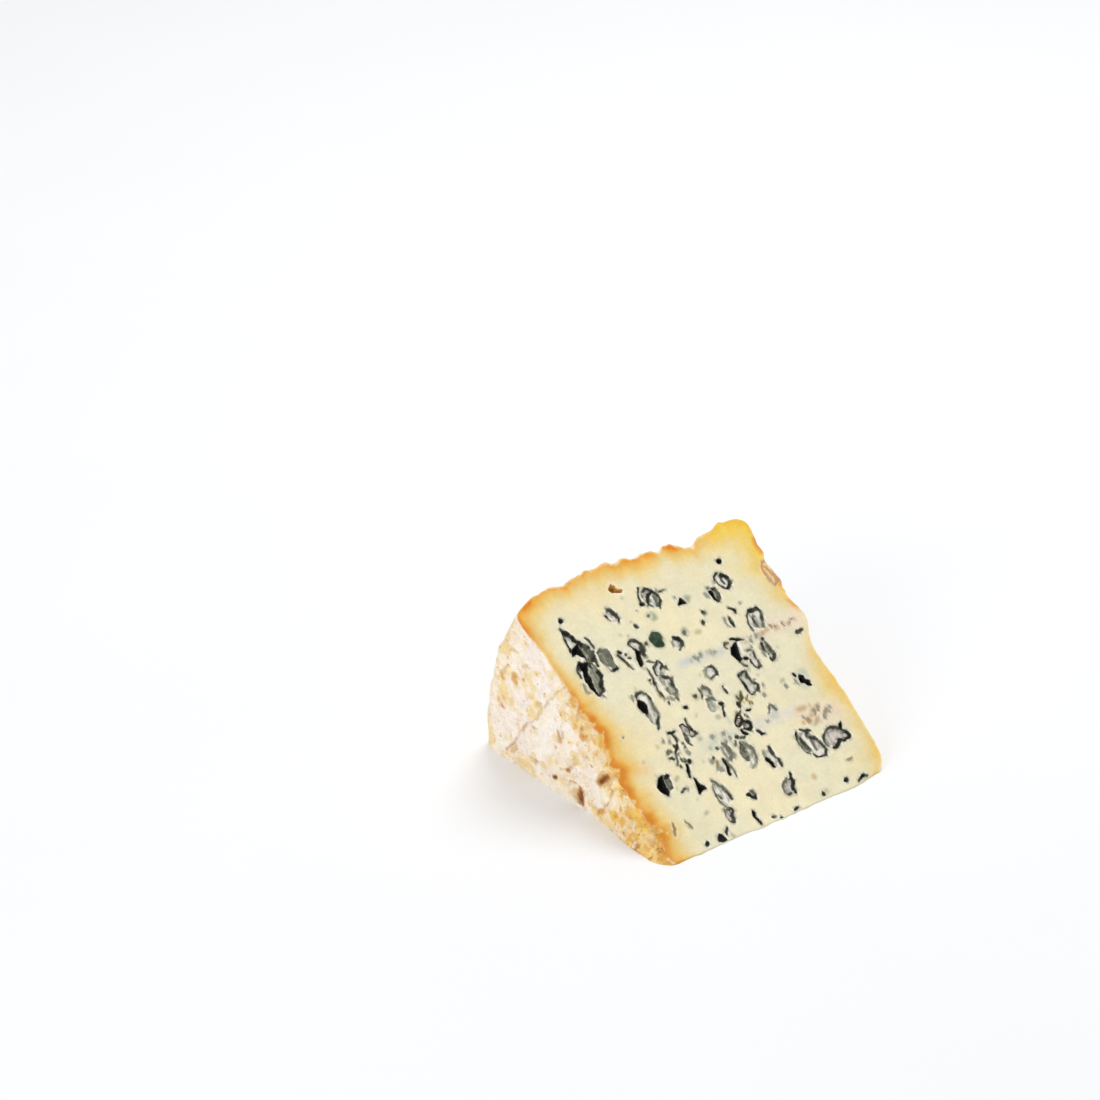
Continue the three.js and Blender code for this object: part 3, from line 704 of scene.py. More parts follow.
@dataclass(frozen=True)
class Drum:
    """The cut wheel's outline, in millimetres, with its corner at the left end of the nose.

    Each list reads an edge at even steps, as millimetres off the ideal drum. The ends are read from nose to
    heel, the heel and the nose from left to right. A crumbled place has where it is along the heel, its half
    width, and how far it stands out. The toe is how far the nose spreads where it rests. The low corner is
    that of the whole wedge's box.
    """

    radius: float = 100.0
    height: float = 97.0
    cut_angle: float = math.radians(38.3)
    nose_radius: float = 0.8
    heel_corner: float = 4.0
    worn_left_corner: float = 7.0
    worn_right_corner: float = 8.0
    floor_tuck: float = 0.9
    floor_tuck_height: float = 2.2
    left_at_cut: Numbers = (0.0, 4.4, 2.4, 1.3, 1.7, 2.9, 1.6, 0.6, -0.1, -2.0, -2.2)
    right_at_cut: Numbers = (0.3, 0.9, 0.8, 0.6, -0.7, -1.4, 1.7, 0.5, 0.2, 0.3, 1.0)
    heel_at_cut: Numbers = (
        -2.2, 0.2, 0.9, 0.9, 2.6, 2.8, 2, 1, 1.6, 0.6, -0.6, -0.6, 1.6, 2, 1.2,
    )
    left_at_rest: Numbers = (-1.5, -1.5, -1.2, 0.3, 1.2, 0.9, 0.5, 0.6, 0.6, 0.4, 0.4)
    right_at_rest: Numbers = (-0.6, -0.2, 0.4, 0.1, -0.5, -0.3, 0.3, 0.6, 0.1, -0.4, -0.8)
    heel_at_rest: Numbers = (
        -2.2, -1.6, -0.8, -0.1, 0.6, 1, 0.6, 0, -0.6, 0.2, 0.8, 0.4, -0.4, -1, -1.6,
    )
    nose_wander: Numbers = (0.4, 1.4, 1.5, 1.1, 1.0, 1.4, 0.7, 0.7, 0.4, 0.4, 0.1, -0.7, -1.6)
    nose_crumbling: float = 0.55
    nose_crumbling_reach: float = 3.0
    cut_line_fade: float = 1.4
    toe: float = 0.4
    crumbled: tuple[Numbers, ...] = ((60, 1.6, -1.4), (65.2, 2.6, 1), (72.8, 3, -1.9))
    crumbled_reach: float = 0.12
    low_corner: Pair = (-2.215, -0.886)
    crumb: Grain = field(default_factory=lambda: Grain(11))

    def between_cuts(self, rest: Sequence[float], cut: Sequence[float], t: Floats, lift: Floats) -> Floats:
        """Blends an edge's line at rest, at lift 0, into its line at the upper cut, at lift 1."""
        low, high = smooth_line(rest, t), smooth_line(cut, t)
        return low + (high - low) * lift**self.cut_line_fade

    def crumbling(self, along: Floats, lift: Floats, seed: float, amount: Floats) -> Floats:
        """Jagged crumbs of an upper edge, which die away a few millimetres below it."""
        place = np.stack([along, np.full_like(along, seed), 0.35 * self.radius * (1 - lift)], -1)
        return amount * self.crumb.at(place, 3.8, 3) * np.exp(-(1 - lift) * 14)

    @staticmethod
    def worn_off(r: Floats, corner: float) -> Floats:
        """How far an end has worn off just above the nose, on a quarter circle."""
        return corner - np.sqrt(corner**2 - np.clip(corner - r, 0, corner) ** 2)

    def left_end(self, r: Floats, lift: Floats) -> Floats:
        """The left end, worn at the nose and crumbled at the cut.

        Args:
            r: Distances from the axis.
            lift: How far round: 0 at the resting cut, 1 at the upper one.

        Returns:
            Its x at each distance and lift.
        """
        line = self.between_cuts(self.left_at_rest, self.left_at_cut, r / self.radius, lift)
        rough = (0.12 + 0.6 * ease(r, 68, 58) * ease(r, 2, 9)) * ease(r, 93, 86)
        return line + self.worn_off(r, self.worn_left_corner) + self.crumbling(r, lift, 3.5, rough)

    def right_end(self, r: Floats, lift: Floats) -> Floats:
        """The right end, worn at the nose and crumbled at the cut.

        Args:
            r: Distances from the axis.
            lift: How far round: 0 at the resting cut, 1 at the upper one.

        Returns:
            Its x at each distance and lift.
        """
        line = self.between_cuts(self.right_at_rest, self.right_at_cut, r / self.radius, lift)
        rough = (0.2 + 0.34 * ease(r, 48, 62)) * ease(r, 94, 88)
        crumbs = self.crumbling(r, lift, 9.5, rough)
        return self.height + line - self.worn_off(r, self.worn_right_corner) + crumbs

    def heel(self, x: Floats, lift: Floats) -> Floats:
        """The heel, with what crumbled out of its upper edge.

        Args:
            x: Places along the nose.
            lift: How far round: 0 at the resting cut, 1 at the upper one.

        Returns:
            Its distance from the axis.
        """
        line = self.between_cuts(self.heel_at_rest, self.heel_at_cut, x / self.height, lift)
        bites = sum(out * hump(x, at, width) for at, width, out in self.crumbled)
        rough = 0.6 * ease(x, 4, 12) * ease(x, 93, 85)
        line = line + bites * np.exp((lift - 1) / self.crumbled_reach)
        return self.radius + line + self.crumbling(x, lift, 6.5, rough)

    def section(self, row: Floats, lift: Floats) -> tuple[Floats, Floats]:
        """The rind's section at each lift: up the left end, along the heel and down the right end.

        The corners are quarter circles, and an end meets the heel halfway round each of them.

        Args:
            row: Row numbers, counted from the left end of the nose.
            lift: How far round: 0 at the resting cut, 1 at the upper one.

        Returns:
            The x of each point, and its distance from the axis.
        """
        corner = self.heel_corner
        half = math.sqrt(0.5) * corner
        near_heel = np.full_like(lift, self.radius - corner)
        left_x = self.left_end(near_heel, lift) + corner
        left_r = self.heel(left_x - half, lift) - corner
        right_x = self.right_end(near_heel, lift) - corner
        right_r = self.heel(right_x + half, lift) - corner

        up = row / END_STEPS
        along = (row - END_STEPS) / HEEL_STEPS
        down = (HEEL_END + END_STEPS - row) / END_STEPS
        r_up = self.nose_radius + (left_r + half - self.nose_radius) * up
        r_down = self.nose_radius + (right_r + half - self.nose_radius) * down
        x_along = left_x - half + (right_x - left_x + 2 * half) * along

        def arc(past: Floats) -> Floats:
            """Height of the quarter circle over its chord at a distance past where it starts."""
            return corner - np.sqrt(corner**2 - np.clip(past, 0, half + 1e-6) ** 2)

        on_left, on_right = row <= END_STEPS, row > HEEL_END
        x = np.where(on_left, self.left_end(r_up, lift) + arc(r_up - left_r), x_along)
        x = np.where(on_right, self.right_end(r_down, lift) - arc(r_down - right_r), x)
        past = np.maximum(left_x - x_along, x_along - right_x)
        r = np.where(on_left, r_up, self.heel(x_along, lift) - arc(past))
        return x, np.where(on_right, r_down, r)

    def place(self, x: Floats, r: Floats, lift: Floats) -> Floats:
        """Carries points round the axis to their lift, and lets the nose wander, crumble and spread.

        Args:
            x: Places along the nose.
            r: Distances from the axis.
            lift: How far round: 0 at the resting cut, 1 at the upper one.

        Returns:
            The points.
        """
        angle = self.cut_angle * lift
        wander = smooth_line(self.nose_wander, x / self.height) * (1 - r / self.radius) ** 2
        along = np.stack([x, np.full_like(x, 12.5), np.zeros_like(x)], -1)
        crumbs = self.nose_crumbling * self.crumb.at(along, 5, 2) * np.exp(-r / self.nose_crumbling_reach)
        spread = self.toe * (1 - lift) * np.exp(self.nose_radius - r)
        return np.stack([x, r * np.cos(angle) - (wander + crumbs) - spread, r * np.sin(angle)], -1)


@dataclass
class Skin:
    """What the materials read at each point of the surface.

    The tone, the hollow's floor and the dark mould are screen colours. Hollow and body are millimetres inside
    the nearest open hollow and dark body, and the rim is the width of that hollow's dark line. The others are
    shares from 0 to 1: how much of its floor mould covers, how streaked it is, how thickly ochre specks lie
    on the rind, and how deep the point is in one of its creases or pits.
    """

    tone: Floats
    floor: Floats
    dark: Floats
    hollow: Floats
    rim: Floats
    fill: Floats
    streaks: Floats
    body: Floats
    speckle: Floats
    crease: Floats

    @classmethod
    def plain(cls, count: int) -> "Skin":
        """Plain paste, with no marks.

        Args:
            count: How many points it has.

        Returns:
            Their skin.
        """
        tone = np.full((count, 3), 235.0)
        outside = {name: np.full(count, FAR_OUTSIDE) for name in ("hollow", "body")}
        none = {name: np.zeros(count) for name in ("rim", "fill", "streaks", "speckle", "crease")}
        return cls(tone=tone, floor=tone.copy(), dark=tone * 0.2, **outside, **none)

    def put(self, where: Ints, other: "Skin") -> None:
        """Lays another skin over some of the points."""
        for name, values in vars(self).items():
            values[where] = getattr(other, name)

    def of(self, kept: NDArray[np.bool_]) -> "Skin":
        """The skin of the points that are kept."""
        return Skin(**{name: values[kept] for name, values in vars(self).items()})

    @classmethod
    def joined(cls, skins: Sequence["Skin"]) -> "Skin":
        """One skin for all points, one after another."""
        names = cls.__dataclass_fields__
        return cls(**{name: np.concatenate([getattr(skin, name) for skin in skins]) for name in names})


@dataclass
class CutFace:
    """One of the two cut faces: its outline, its marks, its faint tracks and the noise that it reads.

    The lift is 1 for the upper cut and 0 for the resting one. The cell is the spacing of its points, and the
    wall the width over which a hollow's wall goes down, both in millimetres.
    """

    drum: Drum
    marks: list[Mark]
    tracks: list[Track]
    lift: float
    cell: float
    grain: Grain
    wall: float = 0.55

    # Most depth for each millimetre from the nose, and the depths between which a mark can be dusty
    THIN_SHARE = 0.28
    SHALLOW = 0.15
    CAVE_DEPTH = 2
    DUST = (150, 150, 130)
    # How far left of a point a mark is read again, in millimetres, for the painted shade on a hollow's left
    # wall and the painted highlight right of a dark body, and the colour of that painted highlight
    LIP = 0.7
    PALE_LIP = (250, 245, 228)
    # Heights of the layers of noise that the resting cut reads for its outlines, tones, depths, ripeness and
    # fading, and how far above each of them the upper cut reads
    OUTLINE, TONE, DEPTH, RIPE, FADING = 0, 3, 15, 22, 33
    LAYERS_APART = 40
    # How far from the nose the hollows start, in millimetres
    NOSE_EDGE = 0.4
    # Places along the heel where its edge is broken, with their half widths, and how ripe each edge is at
    # even steps along it and how many millimetres that reaches in
    NOTCHES = ((42, 2.5), (60, 1.6), (66.8, 0.9), (72.6, 2.2))
    LEFT_RIPE = (0.9, 1.02, 1.12, 1.14, 1.3, 1.18, 1, 0.72, 0.62, 1, 1.1)
    LEFT_REACH = (5.4, 5, 4.8, 5.4, 5.7, 4.9, 4.6, 4.4, 3.4, 4.4, 5)
    RIGHT_RIPE = (0.42, 0.52, 0.42, 0.55, 0.6, 0.38, 0.2, 0.52, 0.66, 0.64, 0.62)
    RIGHT_REACH = (6, 6.5, 6, 6.6, 6.4, 5, 4, 6, 7.5, 8.5, 9.5)
    HEEL_RIPE = (1.2, 1, 0.8, 0.8, 0.88, 0.9, 0.92, 0.94, 0.84, 0.75, 0.6, 0.7, 0.7, 0.66, 0.64)
    HEEL_REACH = (4.4, 4.8, 4.2, 4, 4.4, 4.8, 4.8, 5.2, 5.2, 4.8, 4.5, 5.4, 7.5, 9, 9)
    # Colours from the unripe paste to the ripest, in the two ways that it ripens
    ORANGE = (
        (243, 232, 192), (239, 219, 165), (237, 205, 128), (240, 190, 94), (237, 162, 48), (226, 130, 8),
    )
    YELLOW = (
        (243, 232, 192), (240, 220, 160), (240, 211, 128), (244, 206, 80), (242, 192, 56), (226, 154, 36),
    )
    DULL = (196, 140, 66)
    COOL = (234, 228, 196)
    MILKY = (234, 228, 203)
    CRUMBS = (238, 202, 134)
    RIGHT_EDGE = (222, 142, 62)
    EDGE_LIP = (250, 236, 214)

    def layer(self, x: Floats, r: Floats, height: float) -> Floats:
        """Places for reading the grain, on a layer of its own height."""
        return np.stack([x, r, np.full_like(x, height + self.LAYERS_APART * self.lift)], -1)

    def warped(self, x: Floats, r: Floats) -> tuple[Floats, Floats]:
        """Shifts places by smooth noise, so that outlines come out irregular.

        Args:
            x: Places along the nose.
            r: Places from nose to heel.

        Returns:
            The new places.
        """
        flat = self.layer(x, r, self.OUTLINE)
        shift_x = 0.22 * self.grain.at(flat, 3.1) + 0.14 * self.grain.at(flat + 31.7, 1.3)
        shift_r = 0.26 * self.grain.at(flat + 57.1, 3.3) + 0.14 * self.grain.at(flat + 83.9, 1.3)
        return x + shift_x, r + shift_r

    def rim_distance(self, x: Floats, r: Floats) -> Floats:
        """Distance to the rim of the nearest mark that is deep and broad.

        Args:
            x: Places along the nose.
            r: Places from nose to heel.

        Returns:
            Millimetres inside that rim.
        """
        x, r = self.warped(x, r)
        nearest = np.full_like(x, FAR_OUTSIDE)
        for mark in self.marks:
            if mark.look.value.depth > 0.3 and mark.reach > 0.8:
                np.maximum(nearest, mark.inside(x, r), out=nearest)
        return nearest

    def snapped(self, x: Floats, r: Floats) -> tuple[Floats, Floats]:
        """Slides grid points that are close to a rim onto it, straight along the slope of the rim distance.

        Args:
            x: Places along the nose, as a grid.
            r: Places from nose to heel, as a grid.

        Returns:
            The new places, with the grid's border left where it was.
        """
        distance = self.rim_distance(x, r)
        d_r, d_x = np.gradient(distance)
        slope = np.hypot(d_r, d_x) + 1e-9
        step = np.clip(-distance, -0.45 * self.cell, 0.45 * self.cell) / slope
        step = np.where(np.abs(distance) < 0.55 * self.cell, step, 0)
        step[[0, -1]] = 0
        step[:, [0, -1]] = 0
        return x + step * d_x, r + step * d_r

    def edge_distances(self, x: Floats, r: Floats) -> tuple[Floats, Floats, Floats]:
        """Millimetres in from the left end, the right end and the heel."""
        lift = np.full_like(x, self.lift)
        return x - self.drum.left_end(r, lift), self.drum.right_end(r, lift) - x, self.drum.heel(x, lift) - r

    def depth(self, x: Floats, r: Floats) -> Floats:
        """How far the surface lies below the flat cut.

        Each hollow goes down by its depth on a smooth step of its rim distance, the deepest counts, and mould
        makes the floors uneven. Near the face's own edges all of it fades out.

        Args:
            x: Places along the nose.
            r: Places from nose to heel.

        Returns:
            Depth in millimetres.
        """
        flat = self.layer(x, r, self.DEPTH)
        wx, wr = self.warped(x, r)
        deepest = np.zeros_like(x)
        for mark in self.marks:
            look = mark.look.value
            if look.depth > 0:
                wall = min(self.wall + 0.12 * look.depth, 1.1 * mark.reach)
                down = look.depth * ease(mark.inside(wx, wr), -0.08, wall)
                np.maximum(deepest, down, out=deepest)
        bumps = 0.16 * self.grain.at(flat, 0.9) + 0.22 * self.grain.at(flat + 11, 2.1)
        deepest *= 1 + bumps
        cut = 0.16 * self.grain.at(flat + 5, 13) + 0.05 * self.grain.at(flat + 9, 2.4)
        left, right, heel = self.edge_distances(x, r)
        margin = np.minimum.reduce([left, right, heel, r - self.NOSE_EDGE])
        deepest = np.minimum(deepest, self.THIN_SHARE * np.maximum(r - self.NOSE_EDGE, 0))
        return deepest * ease(margin, 0, 1.1) + np.maximum(cut + 0.16, 0) * ease(margin, 0, 4)

    def ripeness(self, x: Floats, r: Floats) -> tuple[Floats, Floats]:
        """How ripe the paste is: each edge's own ripeness, which dies away with distance from it.

        Args:
            x: Places along the nose.
            r: Places from nose to heel.

        Returns:
            The ripeness, 0 in the middle and about 1 at the ripest edge, and the share that is yellow.
        """
        flat = self.layer(x, r, self.RIPE)
        left, right, heel = self.edge_distances(x, r)
        wobble = 1 + 0.16 * self.grain.at(flat, 7) + 0.10 * self.grain.at(flat, 2.2)
        t, s = r / self.drum.radius, x / self.drum.height
        heel_ripe = smooth_line(self.HEEL_RIPE, s) + 0.5 * hump(x, 65.4, 2.8) - 0.4 * hump(x, 59.8, 1.8)
        uneven = 1 + 0.18 * self.grain.at(flat + 71, 4.2) * ease(r, 72, 62)
        edges = (
            (uneven * smooth_line(self.LEFT_RIPE, t), left, smooth_line(self.LEFT_REACH, t)),
            (smooth_line(self.RIGHT_RIPE, t), right, smooth_line(self.RIGHT_REACH, t)),
            (heel_ripe, heel, smooth_line(self.HEEL_REACH, s)),
        )
        parts = [
            np.maximum(ripe * np.exp(-np.maximum(far, 0) / reach) * wobble, 0) ** 3
            for ripe, far, reach in edges
        ]
        total = sum(parts)
        near_corner = 0.4 + 0.6 * ease(r, 74, 88)
        yellow = (parts[1] * near_corner + parts[2] * ease(x, 74, 86)) / (total + 1e-9)
        return np.cbrt(total), yellow

    def paste_tone(self, x: Floats, r: Floats) -> Floats:
        """Colour of the paste: two ramps over its ripeness, painted shade along the left edge, a cooler
        middle, tracks, stains and a pale lip.

        Args:
            x: Places along the nose.
            r: Places from nose to heel.

        Returns:
            Screen colours.
        """
        flat = self.layer(x, r, self.TONE)
        ripe, yellow = self.ripeness(x, r)
        steps = np.linspace(0, 1, len(self.ORANGE))
        orange_tone, yellow_tone = (
            np.stack([np.interp(ripe, steps, part) for part in np.transpose(ramp)], -1)
            for ramp in (self.ORANGE, self.YELLOW)
        )
        tone = blend(orange_tone, yellow_tone, yellow)
        left, right, heel = self.edge_distances(x, r)
        # Painted shade: the ripe margin is painted a duller, darker orange along the left edge
        left_edge_shade = ease(ripe, 0.3, 0.8) * ease(left, 9, 1) * ease(r, 97, 86)
        middle = 1 - ease(ripe, 0.05, 0.35)
        cool = ease(self.grain.at(flat, 17) + 0.5 * self.grain.at(flat + 3, 6), -0.5, 0.7)
        towards_middle = hump(r, 46, 26) * hump(x, 48, 30)
        uneven = 0.8 + 0.4 * self.grain.at(flat, 2)
        wx, wr = self.warped(x, r)
        stains = [mark for mark in self.marks if mark.look.value.kind is Kind.STAIN]
        crumbs = ease(self.grain.at(flat + 61, 1.7, 2) - 0.55 * left, -0.1, 0.35) * ease(r, 70, 60)
        notch = np.minimum(sum(hump(x, at, width) for at, width in self.NOTCHES), 1)
        ragged = heel + 0.4 * self.grain.at(flat + 29, 1.7, 2)
        lip = ease(ragged, 1 + 0.7 * notch, 0.1) * ease(x, 90, 76)
        lip *= 0.55 + 0.35 * np.maximum(notch, self.grain.at(flat, 4))
        lip = np.maximum(lip, 0.6 * ease(left, 0.9, 0.1) * ease(r, 60, 72) * ease(r, 92, 84))
        lip = np.maximum(lip, 0.4 * ease(right, 0.8, 0.1) * ease(r, 66, 60))
        patchy = ease(self.grain.at(flat + 77, 3), -1, -0.2)
        along_edge = ease(r, 62, 67) * ease(r, 97, 92) * patchy
        layers = [
            (self.DULL, 0.26 * left_edge_shade),
            (self.COOL, 0.75 * middle * cool),
            (self.MILKY, 0.35 * middle * towards_middle),
            *((track.colour, track.amount(x, r) * uneven) for track in self.tracks),
            *((mark.look.value.floor, 0.65 * ease(mark.inside(wx, wr), -0.9, 0.9)) for mark in stains),
            (self.CRUMBS, 0.85 * crumbs * self.lift),
            (self.RIGHT_EDGE, 0.8 * ease(right, 2.3, 0.3) * along_edge * self.lift),
            (self.EDGE_LIP, np.clip(lip, 0, 1)),
        ]
        for colour, amount in layers:
            tone = blend(tone, colour, amount)
        return tone

    @staticmethod
    def broad(colour: Colour, x: Floats) -> Floats:
        """One colour for every place."""
        return np.broadcast_to(np.asarray(colour, float), (*x.shape, 3))

    def skin(self, x: Floats, r: Floats) -> Skin:
        """Lays the marks over each other in the order of their looks, faded in places, and keeps what shows.

        Args:
            x: Places along the nose.
            r: Places from nose to heel.

        Returns:
            The skin of those places.
        """
        skin = Skin.plain(x.size)
        skin.tone[:] = self.paste_tone(x, r)
        wx, wr = self.warped(x, r)
        flat = self.layer(x, r, self.FADING)
        faded = ease(self.grain.at(flat, 2, 2), -0.15, 0.75)
        order = list(Look)
        laid = [mark for mark in self.marks if mark.look.value.kind is not Kind.STAIN]
        for mark in sorted(laid, key=lambda mark: order.index(mark.look)):
            look = mark.look.value
            inside = mark.inside(wx, wr)
            within = ease(inside, -0.3, 0.1)
            fade = faded * (self.SHALLOW < look.depth < self.CAVE_DEPTH)
            dark = blend(self.broad(look.dark, x), self.DUST, 0.5 * fade)
            shifted = mark.inside(wx - self.LIP, wr + 0.2 * self.LIP)
            # Painted highlight: a pale line just right of each deeper dark body, on the paste and on any
            # floor under it
            if look.kind is Kind.SOLID:
                lip = 0.6 * ease(shifted, -0.3, 0) * (look.depth > 0.3)
                skin.tone[:] = blend(skin.tone, self.PALE_LIP, lip)
                skin.floor[:] = blend(skin.floor, self.PALE_LIP, lip)
                skin.dark[:] = blend(skin.dark, dark, ease(inside, -0.45, -0.15))
                np.maximum(skin.body, inside + 0.05 - 0.12 * fade, out=skin.body)
                continue
            # Painted shade: an open hollow's floor darkens to its dark colour towards its left wall, more for
            # a wider rim
            shade = 2.4 * look.rim * ease(shifted, 1, -0.3)
            skin.floor[:] = blend(skin.floor, blend(self.broad(look.floor, x), look.dark, shade), within)
            skin.dark[:] = blend(skin.dark, dark, ease(inside, -0.9, -0.5))
            skin.rim += (look.rim * (1 - 0.5 * fade) - skin.rim) * ease(inside, -0.5, -0.2)
            skin.fill += (look.fill - skin.fill) * within
            skin.streaks += (look.streaks - skin.streaks) * within
            np.maximum(skin.hollow, inside, out=skin.hollow)
        return skin


def drawn_marks(drum: Drum, count: int, seed: int) -> list[Mark]:
    """Draws marks for the cut face that the wedge rests on, each clear of the others.

    Args:
        drum: The outline.
        count: How many groups of marks to draw.
        seed: Seed of the draw.

    Returns:
        The marks, some of them with a dark body inside an open hollow.
    """
    draw = np.random.default_rng(seed)
    floors = [Look.PALE, Look.LILAC, Look.MAUVE, Look.FELT]
    spots = [Look.INK, Look.DARK, Look.OLIVE, Look.SMUDGE]
    taken: list[tuple[float, float, float]] = []
    marks: list[Mark] = []
    while len(taken) < count:
        x, r = draw.uniform(7, drum.height - 7), draw.uniform(5, drum.radius - 8)
        half = draw.uniform(0.7, 4.2)
        if any(math.hypot(x - a, r - b) < 1.25 * (half + c) for a, b, c in taken):
            continue
        taken.append((x, r, half))
        lean = draw.uniform(-20, 20)
        slim = half * draw.uniform(0.45, 0.75)
        if half < 1.7:
            marks.append(Oval(spots[draw.integers(4)], x, r, slim, half * 0.7, lean))
            continue
        marks.append(Oval(floors[draw.integers(4)], x, r, slim, half, lean))
        start, turn = draw.uniform(0, 2 * math.pi), draw.uniform(2.5, 5)
        angles = start + turn * np.linspace(0, 1, 7)
        arc = [(x + slim * math.cos(angle), r + half * math.sin(angle)) for angle in angles]
        marks.append(Stroke(Look.INK if half > 3 else Look.DARK, 0.42, tuple(arc)))
        if half > 2.6:
            marks.append(Oval(Look.CAVE, x - 0.25 * half, r + 0.2 * half, 0.22 * half, 0.5 * half, lean))
    return marks


class RindTone(Enum):
    """Screen colours of the rind."""

    WHITE = (252, 243, 229)
    BONE = (249, 234, 208)
    PINK = (248, 234, 221)
    GOLD = (244, 216, 154)
    TAN = (222, 190, 142)
    OCHRE = (242, 198, 92)
    DEEP_OCHRE = (214, 152, 62)
    BROWN = (182, 116, 46)
    # Partly the rind's own dark brown, partly painted shade in the pits
    DARK_BROWN = (118, 62, 14)
    CREASE = (208, 170, 134)
    # Painted shadow: used for the soft grey beside a crease
    GREY = (202, 176, 144)
    AMBER = (228, 170, 66)


@dataclass(frozen=True)
class RindMark:
    """A pit or blotch of the rind: an oval on its own side laid flat.

    u is its place along the floor and v its height over it, in millimetres. The strength says how strongly
    its colour shows, from 0 to 1, and the lean is the slope of its length over the floor in degrees.
    """

    tone: RindTone
    strength: float
    u: float
    v: float
    half_long: float
    half_short: float
    lean: float = 0.0
    depth: float = 0.2

    def inside(self, u: Floats, v: Floats) -> Floats:
        """Millimetres inside the oval's rim."""
        return Oval(Look.DARK, self.u, self.v, self.half_long, self.half_short, self.lean).inside(u, v)


@dataclass(frozen=True)
class Crease:
    """A crease of the rind along a path of u and v, or a fold that stands up where the depth is below 0.

    The strength says how strongly its colour shows, from 0 to 1. Sizes are in millimetres.
    """

    tone: RindTone
    strength: float
    half_width: float
    depth: float
    path: tuple[Pair, ...]

    def amount(self, u: Floats, v: Floats) -> Floats:
        """A bell over the distance to the nearest of the path's straight pieces."""
        nearest, _ = path_distance(u, v, self.path)
        return np.exp(-((nearest / self.half_width) ** 2))


# Strength, place (u, v), half length, half width, lean and depth of each pit and blotch of the left end
LEFT_MARKS: dict[RindTone, list[Numbers]] = {
    RindTone.PINK: [(0.8, 39.5, 13, 6, 4, -30)],
    RindTone.BONE: [(0.9, 46.2, 5.4, 4.2, 3.2, 10, 1.3)],
    RindTone.GOLD: [
        (0.9, 31.8, 17.3, 5, 2.5, -35, 1.9), (0.8, 36.4, 2.6, 2.4, 1.6), (0.7, 83.5, 43.5, 4.2, 2.2, -30),
        (0.85, 68.6, 26.2, 4.8, 2.3, -38, 0.2), (0.8, 85.6, 25.8, 3, 4.4, 15), (0.8, 93.6, 8, 2.4, 6, -10),
        (0.8, 63.6, 7.8, 2.2, 1.5, -20), (0.7, 72.6, 3.6, 3, 1.4),
    ],
    RindTone.OCHRE: [
        (0.85, 13, 11, 5.5, 3.2, 22), (0.9, 26, 6.2, 3, 2.1, 10), (0.6, 47.2, 31, 1.5, 2.6, 35, 0.3),
    ],
    RindTone.TAN: [
        (0.7, 45, 4.6, 3, 2, 10), (0.8, 45.6, 34, 1.3, 2.2, 30, 0.3), (0.8, 40, 33.4, 2, 1.3, -40, 0.4),
        (0.8, 74.3, 41, 2.1, 0.9, -30, 0.3), (0.75, 79.2, 44, 2.3, 0.8, -10),
        (0.8, 66.3, 29.6, 1.9, 0.9, -20, 0.2), (0.7, 68.8, 6.8, 2, 1.4, 0, 0.3),
        (0.75, 80, 6.6, 1.7, 2.5, 30, 0.3),
    ],
    # Painted shadow: a soft grey beside the brown crease at u 55
    RindTone.GREY: [(0.4, 55, 23.2, 2, 1.2, 70, 0.4)],
    RindTone.DEEP_OCHRE: [
        (0.8, 1.5, 8, 2.5, 4, 20), (0.8, 25.4, 6.6, 1.4, 0.9, -20), (0.85, 33.4, 4.6, 2.6, 1.3, -38),
        (0.8, 43.6, 28.4, 1.9, 1.4, -20, 0.4), (0.6, 37.4, 29.6, 2, 1.1, 40), (0.6, 48.6, 38.2, 1.8, 1.2, 30),
        (0.45, 86.2, 22.4, 2.4, 2.2, 30),
    ],
    RindTone.BROWN: [
        (0.9, 31.9, 17.3, 4, 1.5, -36), (0.9, 43.2, 5.4, 1.7, 2.9, -10), (0.9, 50.8, 12, 1.3, 0.8, -35, 0.8),
        (0.7, 55.2, 22.6, 2.1, 0.5, 68, 0.4), (0.8, 5.4, 10, 1.6, 0.6, -50, 0.4),
        (0.7, 44.2, 37.4, 1.5, 1, -30, 0.5), (0.8, 52.6, 43.4, 1.1, 0.8, 20, 0.6),
        (0.6, 85.8, 20.4, 1.5, 0.6, 10), (0.6, 18, 8.8, 0.7, 0.5), (0.7, 21, 2.4, 0.8, 0.6),
        (0.5, 33.8, 4.2, 1.4, 0.6, -38), (0.6, 43.2, 28.8, 0.8, 0.6, 0, 0.2),
    ],
    # Dark brown in the pits: partly the rind's own brown, partly painted shade on each pit's wall towards the
    # nose
    RindTone.DARK_BROWN: [
        (0.95, 32.2, 17, 2.9, 0.85, -38, 0.5), (0.9, 43, 5.2, 0.9, 2, -12, 0.5),
        (0.9, 57.2, 6.3, 1.6, 0.75, -22, 0.9), (0.95, 2.6, 3.9, 1.1, 0.85, -20, 0.8),
    ],
}
